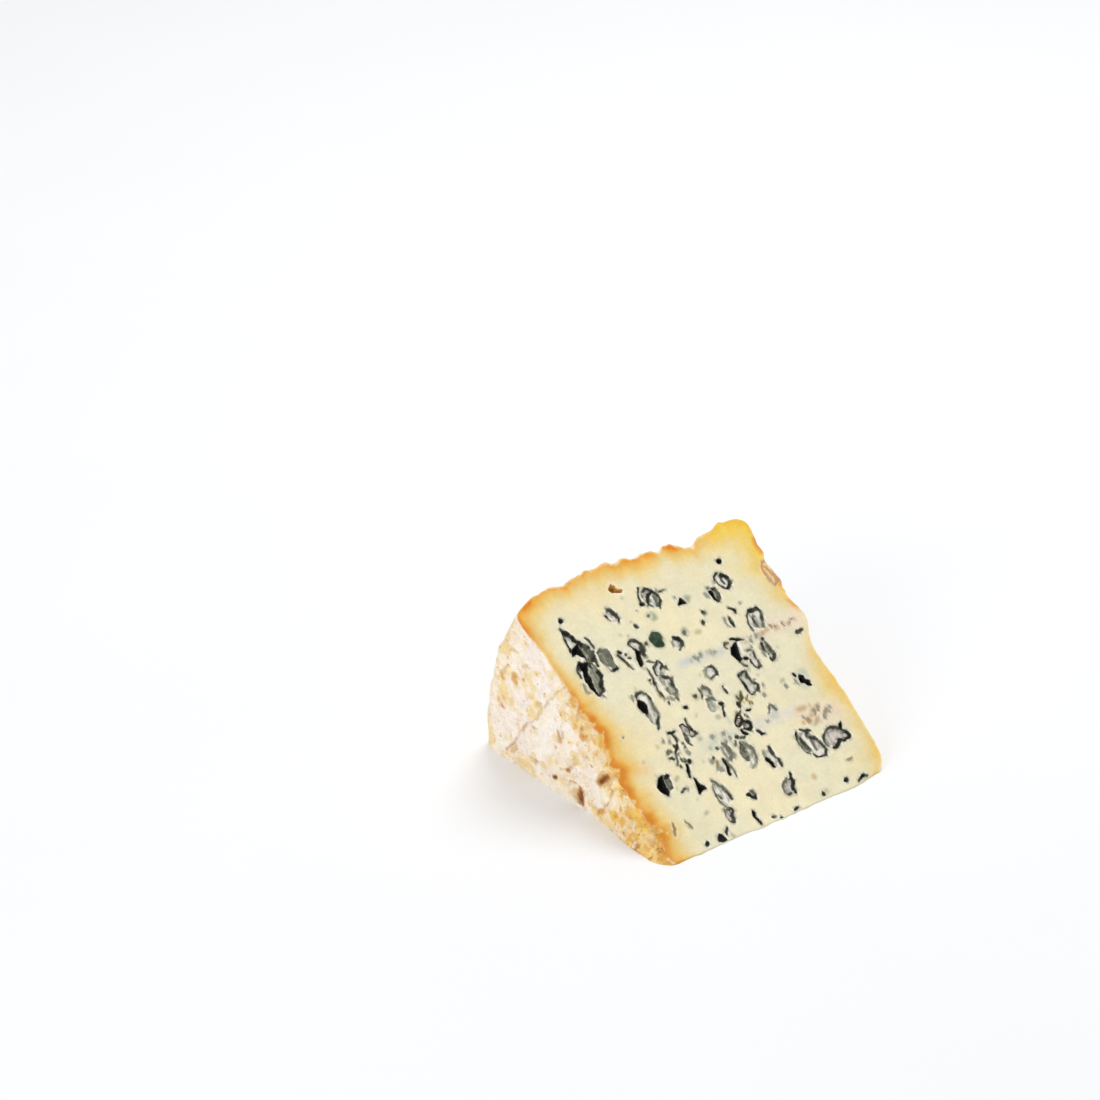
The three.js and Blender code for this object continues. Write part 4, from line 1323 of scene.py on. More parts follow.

# White on the raised folds is painted highlight; the crease tone down the creases is partly their own tan,
# partly painted shade; the brown and ochre lines are the rind's own colour
LEFT_CREASES = [
    Crease(RindTone.WHITE, 0.9, 1.5, -0.9, ((50, 43), (51.5, 36), (52.2, 30), (52.6, 25), (50, 17))),
    Crease(RindTone.WHITE, 0.7, 1.2, -0.3, ((50, 41), (54, 36.4), (60.5, 29.6), (68, 20), (76, 10))),
    Crease(
        RindTone.CREASE, 0.9, 0.42, 0.6,
        ((51, 44.5), (54, 40.8), (58.4, 36.2), (62.4, 31), (66.2, 25.6), (71, 20.8), (76.4, 14.6), (84.5, 4)),
    ),
    Crease(RindTone.BROWN, 0.7, 0.5, 0.5, ((26.8, 15.8), (29.2, 11.2), (31.4, 7.6), (33, 5.2))),
    Crease(RindTone.BROWN, 0.6, 0.4, 0.3, ((49.4, 14.4), (50.8, 12.2), (53, 11.2), (54.8, 10.2))),
    Crease(RindTone.BROWN, 0.7, 0.45, 0.2, ((43.4, 7.6), (45.6, 8.6), (47.6, 8.7), (49.4, 7.9))),
    Crease(RindTone.CREASE, 0.8, 0.6, 0.3, ((53.4, 25.4), (52.8, 23), (54, 21.4), (57.2, 20.8))),
    Crease(RindTone.CREASE, 0.8, 0.4, 0.2, ((64.6, 28.8), (66.6, 25.2), (69.8, 22.4), (71.6, 21.8))),
    Crease(RindTone.CREASE, 0.6, 0.4, 0.2, ((83.2, 36.8), (86, 33), (88.8, 29.6))),
    Crease(RindTone.DEEP_OCHRE, 0.7, 0.5, 0.3, ((4.4, 12.6), (7.6, 8.8), (10.8, 5.8))),
    Crease(RindTone.CREASE, 0.7, 0.4, 0.2, ((37.2, 14.4), (41, 13), (44.6, 13.6))),
    Crease(RindTone.CREASE, 0.5, 0.4, 0.2, ((38, 11.6), (42, 11), (46, 12.2))),
    Crease(RindTone.CREASE, 0.6, 0.5, 0.3, ((44.5, 21), (48, 16), (50, 13.6))),
]


def drawn_blotches(count: int, seed: int, width: float, wedge_angle: float) -> list[RindMark]:
    """Draws small golden and tan blotches over a side of the rind, half of them with a browned core.

    Args:
        count: How many blotches to draw.
        seed: Seed of the draw.
        width: Width of the side in millimetres.
        wedge_angle: The side's angle at the nose in radians, or 0 on a side that is a long rectangle.

    Returns:
        The blotches and their cores.
    """
    draw = np.random.default_rng(seed)
    tones = (RindTone.GOLD, RindTone.GOLD, RindTone.OCHRE, RindTone.TAN, RindTone.DEEP_OCHRE)
    marks: list[RindMark] = []
    for _ in range(count):
        if wedge_angle:
            r, angle = width * math.sqrt(draw.uniform(0.001, 0.96)), wedge_angle * draw.uniform(0.03, 0.97)
            u, v = r * math.cos(angle), r * math.sin(angle)
        else:
            u, v = draw.uniform(3, width - 3), draw.uniform(1.5, 64)
        long = 0.6 + 2 * draw.uniform() ** 1.8
        short, lean = long * draw.uniform(0.4, 0.85), draw.uniform(-60, 60)
        tone, strength = tones[draw.integers(len(tones))], draw.uniform(0.3, 0.75)
        marks.append(RindMark(tone, strength, u, v, long, short, lean))
        if draw.uniform() < 0.5:
            off_u, off_v = 0.4 * long * draw.uniform(-1, 1), 0.4 * short * draw.uniform(-1, 1)
            size, dark = draw.uniform(0.3, 0.75), draw.uniform(0.4, 0.8)
            marks.append(RindMark(RindTone.BROWN, dark, u + off_u, v + off_v, size, 0.6 * size, lean, 0.15))
    return marks


@dataclass(frozen=True)
class Panel:
    """One side of the rind laid flat, with its marks and creases.

    The share says how far each point of the rind belongs to it, from 0 to 1. u is a point's place along the
    floor and v its height over it, inward is the way into the cheese, and broken how well creases show.
    """

    share: Floats
    u: Floats
    v: Floats
    inward: tuple[float, float, float]
    marks: Sequence[RindMark]
    creases: Sequence[Crease]
    broken: Floats

    def depth(self) -> Floats:
        """How far its points go in: the deepest pit, plus the creases.

        Returns:
            Depth in millimetres.
        """
        deep = np.zeros_like(self.u)
        for mark in self.marks:
            np.maximum(deep, mark.depth * ease(mark.inside(self.u, self.v), -0.3, 0.9), out=deep)
        for crease in self.creases:
            deep += crease.depth * crease.amount(self.u, self.v) * self.broken
        return deep * self.share

    def dye(self, tone: Floats) -> tuple[Floats, Floats]:
        """Lays the creases and then the marks over the rind's tone.

        Args:
            tone: Screen colours of the rind's points.

        Returns:
            The new colours, and how deep in a crease or pit each point is, from 0 to 1.
        """
        creased = np.zeros_like(self.u)
        for crease in self.creases:
            amount = crease.amount(self.u, self.v) * self.share * self.broken
            tone = blend(tone, crease.tone.value, crease.strength * amount)
            creased = np.maximum(creased, amount * (crease.depth > 0))
        for mark in self.marks:
            soft = min(0.6, 0.5 * mark.half_short)
            amount = ease(mark.inside(self.u, self.v), -soft, soft) * self.share
            tone = blend(tone, mark.tone.value, mark.strength * amount)
            creased = np.maximum(creased, amount * min(mark.depth, 1))
        return tone, creased


@dataclass
class Rind:
    """The dry skin: rows of points from the resting cut to the upper one, along both ends and the heel.

    The relief is the height of its large unevenness, and the relief length its wavelength, in millimetres.
    The corner rows are half the rows over which one side passes into the next.
    """

    drum: Drum
    grain: Grain
    relief: float = 0.55
    relief_length: float = 10.0
    corner_rows: float = 6.0

    # How far the left end's marks shift along u and v for each millimetre that the end stands back
    SLANT = (-1.29, 0.86)
    # Counts and seeds of the blotches that are drawn on the left end, the right end and the heel
    BLOTCHES = ((48, 71), (90, 72), (130, 73))

    def __post_init__(self) -> None:
        """Numbers the rows' points one after another."""
        rows = np.arange(HEEL_END + END_STEPS + 1)
        _, r = self.drum.section(rows.astype(float), np.zeros(rows.size))
        coarser = [END_STEPS - 2 * self.corner_rows, END_STEPS + 2 * self.corner_rows]
        step = np.interp(rows, coarser, [LEFT_ROUND_STEP, ROUND_STEP])
        self.counts = np.maximum(np.round(r * self.drum.cut_angle / step).astype(int), 1)
        self.starts = np.concatenate([[0], np.cumsum(self.counts + 1)[:-1]])
        self.row = np.repeat(rows, self.counts + 1)
        self.lift = (np.arange(self.row.size) - self.starts[self.row]) / self.counts[self.row]

    def indices(self, row: int) -> Ints:
        """The numbers of one row's points, from the resting cut up."""
        return np.arange(self.starts[row], self.starts[row] + self.counts[row] + 1)

    def panels(self, point: Floats) -> list[Panel]:
        """The left end, the right end and the heel, each laid flat.

        Args:
            point: The rind's points in millimetres.

        Returns:
            The three sides.
        """
        drum, row, corner = self.drum, self.row.astype(float), self.corner_rows
        x, y, z = point.T
        left = ease(row, END_STEPS + corner, END_STEPS - corner)
        right = ease(row, HEEL_END - corner, HEEL_END + corner)
        round_heel = drum.radius * np.arctan2(z, y)
        by_hand = [RindMark(tone, *sizes) for tone, group in LEFT_MARKS.items() for sizes in group]
        for_left, for_right, for_heel = self.BLOTCHES
        on_left = [*drawn_blotches(*for_left, drum.radius, drum.cut_angle), *by_hand]
        on_right = drawn_blotches(*for_right, drum.radius, drum.cut_angle)
        on_heel = drawn_blotches(*for_heel, drum.height, 0)
        warp_u = 0.5 * self.grain.at(point + 190, 4) + 0.3 * self.grain.at(point + 210, 1.5)
        warp_v = 0.5 * self.grain.at(point + 230, 4) + 0.3 * self.grain.at(point + 250, 1.5)
        broken = 0.35 + 0.65 * ease(self.grain.at(point + 270, 5, 2), -0.7, 0.2)
        slant_u, slant_v = self.SLANT
        flat = [
            (left, y + slant_u * x, z + slant_v * x, (1, 0, 0), on_left, LEFT_CREASES),
            (right, y, z, (-1, 0, 0), on_right, ()),
            (1 - left - right, x, round_heel, (0, -1, 0), on_heel, ()),
        ]
        return [Panel(part, u + warp_u, v + warp_v, *rest, broken) for part, u, v, *rest in flat]

    def points(self) -> Floats:
        """Places all points: the outline, moved outwards by relief, and inwards at pits and above the floor.

        Returns:
            Points in millimetres.
        """
        drum = self.drum
        x, r = drum.section(self.row.astype(float), self.lift)
        point = drum.place(x, r, self.lift)
        inner = np.maximum(r - drum.height / 2, 0)
        outward = point - drum.place(np.full_like(x, drum.height / 2), inner, self.lift)
        outward /= np.linalg.norm(outward, axis=-1, keepdims=True)
        outward[:, 2] = 0
        calm = np.sqrt(np.maximum(np.sin(math.pi * self.lift), 0))
        near_edge = r * drum.cut_angle * np.minimum(self.lift, 1 - self.lift)
        fine = ease(near_edge, 0, 1.6)
        tuck = drum.floor_tuck * np.exp(-point[:, 2] / drum.floor_tuck_height) * (r / drum.radius) ** 2
        relief = self.relief * calm * self.grain.at(point, self.relief_length)
        relief += fine * (0.24 * self.grain.at(point + 40, 3.4) + 0.13 * self.grain.at(point + 70, 1.5))
        crusty = self.crusty(point) * fine
        relief += 0.45 * crusty * self.grain.at(point + 110, 2.6, 2)
        panels = self.panels(point)
        point += outward * (relief - tuck)[:, None]
        for panel in panels:
            point += (panel.depth() * fine * ease(r, 1, 4))[:, None] * np.array(panel.inward)
        return point

    def crusty(self, point: Floats) -> Floats:
        """How crusty the rind is: near the nose, and under the crumbled part of the left edge.

        Args:
            point: The rind's points in millimetres.

        Returns:
            A share from 0 to 1.
        """
        r = np.hypot(point[:, 1], point[:, 2])
        below_edge = r * self.drum.cut_angle * (1 - self.lift)
        near_nose = ease(r, 36, 14)
        under_edge = 0.72 * ease(below_edge, 12, 2) * ease(r, 70, 62)
        at_end = np.where(self.row <= END_STEPS, 1, 0.5 * (self.row > HEEL_END))
        return np.maximum(near_nose, under_edge) * at_end

    def skin(self, point: Floats) -> Skin:
        """Colours of the rind: white bloom over bone, pink and gold, ochre near the nose and the upper edge.

        Args:
            point: The rind's points in millimetres.

        Returns:
            Their skin.
        """
        drum, grain = self.drum, self.grain
        corner, row = self.corner_rows, self.row.astype(float)
        r = np.hypot(point[:, 1], point[:, 2])
        below_edge = r * drum.cut_angle * (1 - self.lift)
        on_heel = ease(row, END_STEPS - corner, END_STEPS + corner)
        on_heel *= ease(row, HEEL_END + corner, HEEL_END - corner)
        rim = ease(r, drum.radius - 13, drum.radius - 3) * (1 - 0.8 * on_heel)
        low = ease(point[:, 2], 8, 1)
        heel_edge = 0.35 * ease(below_edge, 7, 0.5) * ease(r, 92, 98)
        patchy = ease(grain.at(point + 90, 5.5, 2), -0.55, 0.45)
        zone = np.maximum(self.crusty(point), heel_edge * patchy)
        at_nose = ease(r, 26, 10) * (row <= END_STEPS)
        ripe_edge = ease(below_edge, 2.2, 0) * ease(r, 72, 64) * (row <= END_STEPS)
        layers = (
            (RindTone.BONE, ease(grain.at(point, 8, 3), -0.4, 0.8)),
            (RindTone.PINK, 0.8 * ease(grain.at(point + 20, 12, 2), 0, 0.8)),
            (RindTone.GOLD, 0.65 * ease(grain.at(point + 50, 5.5, 3), 0.3, 1)),
            (RindTone.GOLD, 0.4 * np.maximum(rim, 0.4 * low)),
            (RindTone.OCHRE, zone * (0.5 + 0.45 * patchy)),
            (RindTone.DEEP_OCHRE, 0.85 * zone * ease(grain.at(point + 130, 3, 3), 0, 0.7)),
            (RindTone.AMBER, 0.6 * at_nose * (0.3 + 0.7 * patchy)),
            (RindTone.PINK, 0.85 * zone * ease(grain.at(point + 170, 2.6, 2), 0.1, 0.6)),
            (RindTone.BROWN, 0.8 * at_nose * ease(grain.at(point + 150, 2.2, 3), 0.2, 0.65)),
            (RindTone.DEEP_OCHRE, 0.6 * ripe_edge),
        )
        tone = np.broadcast_to(np.asarray(RindTone.WHITE.value, float), point.shape)
        for colour, amount in layers:
            tone = blend(tone, colour.value, amount)

        creased = np.zeros(len(point))
        for panel in self.panels(point):
            tone, deep_in = panel.dye(tone)
            creased = np.maximum(creased, deep_in)
        skin = Skin.plain(len(point))
        skin.tone[:] = tone
        skin.speckle[:] = 0.12 + 0.88 * np.clip(zone, 0, 1)
        skin.crease[:] = creased
        return skin


def zip_rows(lower: Ints, upper: Ints) -> Ints:
    """Fills the strip between two rows of any two counts with triangles, always taking the shorter way on.

    Args:
        lower: Point numbers of one row.
        upper: Point numbers of the next row.

    Returns:
        Triangles, three point numbers each.
    """
    a, b = len(lower) - 1, len(upper) - 1
    k, m = np.arange(a), np.arange(b)
    across = np.clip(-((a - (2 * k + 1) * b) // (2 * a)), 0, b)
    back = np.clip(((2 * m + 1) * a - b) // (2 * b) + 1, 0, a)
    on_lower = np.stack([lower[k], lower[k + 1], upper[across]], -1)
    on_upper = np.stack([lower[back], upper[m + 1], upper[m]], -1)
    return np.concatenate([on_lower, on_upper])


def grid_triangles(numbers: Ints) -> Ints:
    """Fills a grid with two triangles for each cell, facing up where its rows go up.

    Args:
        numbers: The grid's point numbers.

    Returns:
        Triangles, three point numbers each.
    """
    low_left, low_right = numbers[:-1, :-1].ravel(), numbers[:-1, 1:].ravel()
    high_left, high_right = numbers[1:, :-1].ravel(), numbers[1:, 1:].ravel()
    first = np.stack([low_left, low_right, high_right], -1)
    return np.concatenate([first, np.stack([low_left, high_right, high_left], -1)])


@dataclass
class Border:
    """The four edges of a cut face, as rows of point numbers, and the points they name."""

    left: Ints
    right: Ints
    top: Ints
    bottom: Ints
    points: Floats

    def patch(self, s: Floats, t: Floats) -> Floats:
        """Spans the four edges: the blend across, plus the blend along, less the blend of the corners.

        Args:
            s: Places from left to right, from 0 to 1.
            t: Places from the nose to the heel, from 0 to 1.

        Returns:
            Points on a grid, a row for each t.
        """

        def read(edge: Ints, where: Floats) -> Floats:
            """Points along an edge."""
            place, steps = where * (len(edge) - 1), np.arange(len(edge))
            return np.stack([np.interp(place, steps, self.points[edge, axis]) for axis in range(3)], -1)

        u, v = s[None, :, None], t[:, None, None]
        across = read(self.left, t)[:, None] * (1 - u) + read(self.right, t)[:, None] * u
        along = read(self.bottom, s)[None] * (1 - v) + read(self.top, s)[None] * v
        corner = self.points[[self.bottom[0], self.bottom[-1], self.top[0], self.top[-1]]]
        low = corner[0] * (1 - u) + corner[1] * u
        high = corner[2] * (1 - u) + corner[3] * u
        return across + along - low * (1 - v) - high * v


@dataclass
class CheeseWedge:
    """The wedge: its rind, its two cut faces and its nose, joined into one closed skin.

    The node is the solid that it stands for, and marks below is how many groups of marks the resting cut has.
    """

    drum: Drum
    name: str = "cheese_wedge_skin"
    node: str = "cheese_wedge"
    marks_below: int = 70

    def __post_init__(self) -> None:
        """Lays out the rind and both cut faces."""
        self.rind = Rind(self.drum, Grain(23))
        self.above = CutFace(self.drum, upper_marks(), UPPER_TRACKS, lift=1, cell=0.4, grain=Grain(37))
        below_marks = drawn_marks(self.drum, self.marks_below, seed=51)
        self.below = CutFace(self.drum, below_marks, [], lift=0, cell=BASE_STEP, grain=Grain(41))

    def nose_rows(self, rind_points: Floats) -> Floats:
        """Points of the nose between its two ends, at the resting cut and at the upper one.

        Args:
            rind_points: The rind's points, which hold the nose's ends.

        Returns:
            For each step from right to left, its two points.
        """
        rind = self.rind
        right, left = rind.indices(len(rind.counts) - 1), rind.indices(0)
        t = (np.arange(1, HEEL_STEPS) / HEEL_STEPS)[:, None]
        ends_x = rind_points[:, 0]
        x = ends_x[right[[0, -1]]] * (1 - t) + ends_x[left[[0, -1]]] * t
        lift = np.broadcast_to([0.0, 1.0], x.shape)
        return self.drum.place(x, np.full_like(x, self.drum.nose_radius), lift)

    def surface(self) -> tuple[Floats, Ints, Ints, Skin]:
        """Joins everything into one closed surface.

        Returns:
            The points in millimetres, the triangles, each triangle's finish, 0 for paste and 1 for rind, and
            the skin of every point.
        """
        rind = self.rind
        points = rind.points()
        skins = [rind.skin(points)]
        nose = self.nose_rows(points)
        nose_numbers = len(points) + np.arange(2 * len(nose)).reshape(-1, 2)
        points = np.concatenate([points, nose.reshape(-1, 3)])
        skins.append(Skin.plain(2 * len(nose)))

        rows = [rind.indices(row) for row in range(len(rind.counts))]
        loop = [*rows, *nose_numbers, rows[0]]
        band = [zip_rows(one, other) for one, other in zip(loop, loop[1:], strict=False)]
        rind_count = sum(len(part) for part in band[: len(rows) - 1])

        ends: dict[int, Border] = {}
        for end in (0, -1):
            left = np.array([row[end] for row in rows[: END_STEPS + 1]])
            top = np.array([row[end] for row in rows[END_STEPS : HEEL_END + 1]])
            right = np.array([row[end] for row in rows[: HEEL_END - 1 : -1]])
            bottom = np.concatenate([[rows[0][end]], nose_numbers[::-1, end], [rows[-1][end]]])
            ends[end] = Border(left, right, top, bottom, points)

        for make, end in ((self.upper_cut, -1), (self.resting_cut, 0)):
            new_points, new_faces, new_skin = make(ends[end], len(points))
            points = np.concatenate([points, new_points])
            band.append(new_faces)
            skins.append(new_skin)

        whole = Skin.joined(skins)
        border = ends[-1]
        above_edge = np.concatenate([border.left, border.top, border.right, border.bottom])
        for edge, face in ((above_edge, self.above), (ends[0].bottom, self.below)):
            whole.put(edge, face.skin(*self.flat_places(points[edge], face.lift)))
        faces = np.concatenate(band)
        finish = (np.arange(len(faces)) < rind_count).astype(int)
        LOG.info("rind %d, nose and cuts %d triangles", rind_count, len(faces) - rind_count)
        return points, faces, finish, whole

    def flat_places(self, points: Floats, lift: float) -> tuple[Floats, Floats]:
        """Reads points of the upper cut, at lift 1, or of the resting one, at lift 0, as x and r."""
        return points[..., 0], points[..., 2] / math.sin(self.drum.cut_angle) if lift else points[..., 1]

    def carve(self, face: CutFace, border: Border, s: Floats, t: Floats) -> tuple[Floats, Skin]:
        """Spans a cut face and lowers its points into the hollows.

        Args:
            face: The face.
            border: Its four edges.
            s: Places from left to right, from 0 to 1.
            t: Places from the nose to the heel, from 0 to 1.

        Returns:
            Its points on a grid, and their skin.
        """
        points = border.patch(s, t)
        x, r = self.flat_places(points, face.lift)
        new_x, new_r = face.snapped(x, r)
        angle = self.drum.cut_angle * face.lift
        along = np.array([0, math.cos(angle), math.sin(angle)])
        points = points + (new_x - x)[..., None] * np.array([1, 0, 0]) + (new_r - r)[..., None] * along
        into = np.array([0, math.sin(angle), -math.cos(angle)]) * (1 if face.lift else -1)
        return points + face.depth(new_x, new_r)[..., None] * into, face.skin(new_x.ravel(), new_r.ravel())

    def upper_cut(self, border: Border, first: int) -> tuple[Floats, Ints, Skin]:
        """Makes the upper cut face on the finest grid, which shares its border with the rind and the nose.

        Args:
            border: Its four edges.
            first: Number that its first new point gets.

        Returns:
            Its inner points, its triangles and the skin of the inner points.
        """
        s = np.linspace(0, 1, HEEL_STEPS + 1)
        t = np.linspace(0, 1, END_STEPS + 1)
        points, skin = self.carve(self.above, border, s, t)
        numbers = np.empty(points.shape[:2], int)
        inner = (slice(1, -1), slice(1, -1))
        numbers[inner] = first + np.arange((len(t) - 2) * (len(s) - 2)).reshape(len(t) - 2, -1)
        numbers[:, 0], numbers[:, -1] = border.left, border.right
        numbers[0], numbers[-1] = border.bottom, border.top
        kept = np.zeros(points.shape[:2], bool)
        kept[inner] = True
        return points[inner].reshape(-1, 3), grid_triangles(numbers), skin.of(kept.ravel())

    def resting_cut(self, border: Border, first: int) -> tuple[Floats, Ints, Skin]:
        """Makes the resting cut face on a coarser grid, joined to its finer border by four strips.

        Args:
            border: Its four edges.
            first: Number that its first new point gets.

        Returns:
            Its inner points, its triangles, facing down, and the skin of the inner points.
        """
        edge_s, edge_t = BASE_STEP / self.drum.height, BASE_STEP / self.drum.radius
        s = np.linspace(edge_s, 1 - edge_s, round(self.drum.height / BASE_STEP))
        t = np.linspace(edge_t, 1 - edge_t, round(self.drum.radius / BASE_STEP))
        points, skin = self.carve(self.below, border, s, t)
        numbers = first + np.arange(len(s) * len(t)).reshape(len(t), len(s))
        strips = (
            (border.bottom, numbers[0]),
            (numbers[-1], border.top),
            (numbers[:, 0], border.left),
            (border.right, numbers[:, -1]),
        )
        faces = np.concatenate([grid_triangles(numbers), *(zip_rows(*strip) for strip in strips)])
        return points.reshape(-1, 3), faces[:, ::-1], skin

    def build(self, paste: bpy.types.Material, rind: bpy.types.Material) -> bpy.types.Object:
        """Makes the piece, standing where its solid stands.

        Args:
            paste: Finish of the cut faces.
            rind: Finish of the rind.

        Returns:
            The piece.
        """
        points, faces, finish, skin = self.surface()
        low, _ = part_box(self.node)
        shift = np.array(low) / MM - np.array([*self.drum.low_corner, 0])
        mesh = bpy.data.meshes.new(self.name)
        mesh.from_pydata(((points + shift) * MM).tolist(), [], faces.tolist())
        mesh.materials.append(paste)
        mesh.materials.append(rind)
        mesh.polygons.foreach_set("material_index", finish)
        mesh.polygons.foreach_set("use_smooth", np.ones(len(faces), bool))
        for name in ("tone", "floor", "dark"):
            colours = np.ones((len(points), 4), np.float32)
            colours[:, :3] = linear(getattr(skin, name))
            mesh.attributes.new(name, "FLOAT_COLOR", "POINT").data.foreach_set("color", colours.ravel())
        for name in ("hollow", "rim", "fill", "streaks", "body", "speckle", "crease"):
            values = getattr(skin, name).astype(np.float32)
            mesh.attributes.new(name, "FLOAT", "POINT").data.foreach_set("value", values)
        self.sharpen(mesh, finish)
        mesh.validate()
        return placed(self.name, mesh)

    @staticmethod
    def sharpen(mesh: bpy.types.Mesh, finish: Ints) -> None:
        """Keeps the edge between rind and paste crisp: its edges have a face of each finish.

        Args:
            mesh: The piece's mesh.
            finish: Each face's finish.
        """
        loops = np.empty(len(mesh.loops), np.int32)
        mesh.loops.foreach_get("edge_index", loops)
        per_edge = np.zeros((len(mesh.edges), 2), bool)
        per_edge[loops, np.repeat(finish, 3)] = True
        mesh.edges.foreach_set("use_edge_sharp", per_edge.all(axis=1))


class Graph:
    """A material's node tree, with short ways to add the nodes that the finishes need."""

    def __init__(self, name: str) -> None:
        """Starts a material with one main shader.

        Args:
            name: The material's name.
        """
        self.material = bpy.data.materials.new(name)
        self.material.use_nodes = True
        self.nodes, self.links = self.material.node_tree.nodes, self.material.node_tree.links
        self.place = self.add("TexCoord", {}, "Object")

    def feed(self, inputs: bpy.types.bpy_prop_collection, values: dict[str | int, Value]) -> None:
        """Puts values on a node's sockets, or links other sockets to them.

        Args:
            inputs: The node's sockets.
            values: What each of them gets: a number, a vector, a screen colour or another socket.
        """
        for key, value in values.items():
            if isinstance(value, Socket):
                self.links.new(value, inputs[key])
            else:
                colour = isinstance(value, tuple)
                inputs[key].default_value = (*linear(value).tolist(), 1) if colour else value

    def add(
        self, kind: str, values: dict[str | int, Value], out: str | int = 0, **settings: str
    ) -> Socket:
        """Adds a node.

        Args:
            kind: Its kind.
            values: What its sockets get.
            out: The output that is wanted.
            settings: Its settings.

        Returns:
            That output.
        """
        node = self.nodes.new(f"ShaderNode{kind}")
        for name, setting in settings.items():
            setattr(node, name, setting)
        self.feed(node.inputs, values)
        return node.outputs[out]

    def finish(self, values: dict[str | int, Value]) -> bpy.types.Material:
        """Puts the last values on the main shader."""
        self.feed(self.nodes["Principled BSDF"].inputs, values)
        return self.material

    def attribute(self, name: str, colour: bool = False) -> Socket:
        """Reads one of the piece's attributes."""
        return self.add("Attribute", {}, "Color" if colour else "Fac", attribute_name=name)

    def noise(
        self, wavelength: float, detail: float = 2.0, roughness: float = 0.5, place: Socket | None = None
    ) -> Socket:
        """Adds noise of about 0 to 1, with a wavelength in millimetres."""
        values = {"Vector": place or self.place, "Scale": 1 / (wavelength * MM), "Detail": detail}
        return self.add("TexNoise", {**values, "Roughness": roughness})

    def stretched(self, turn: float, stretch: Vector) -> Socket:
        """Places turned about X by an angle in radians, and stretched along each axis."""
        values = {"Vector": self.place, "Rotation": Vector((turn, 0, 0)), "Scale": stretch}
        return self.add("Mapping", values, vector_type="TEXTURE")

    def math(self, operation: str, *values: Socket | float) -> Socket:
        """Does the sum of that name."""
        return self.add("Math", dict(enumerate(values)), operation=operation)

    def step(self, value: Socket, low: Value, high: Value, bottom: float = 0.0, top: float = 1.0) -> Socket:
        """Goes smoothly from bottom at low to top at high."""
        values = dict(enumerate((value, low, high, bottom, top)))
        return self.add("MapRange", values, "Result", interpolation_type="SMOOTHSTEP")

    def mix(self, amount: Value, under: Value, over: Value, way: str = "MIX") -> Socket:
        """Lays one colour over another, by the sockets that a Mix node keeps for colours."""
        return self.add("Mix", {0: amount, 6: under, 7: over}, 2, data_type="RGBA", blend_type=way)

    def grey(self, value: Socket) -> Socket:
        """Turns a number into a grey colour."""
        return self.add("CombineColor", {0: value, 1: value, 2: value})

    def bump(self, height: Socket, distance: float) -> Socket:
        """Roughens the shading normal by a height, where 1 stands for a distance in millimetres."""
        return self.add("Bump", {"Distance": distance * MM, "Height": height}, "Normal")


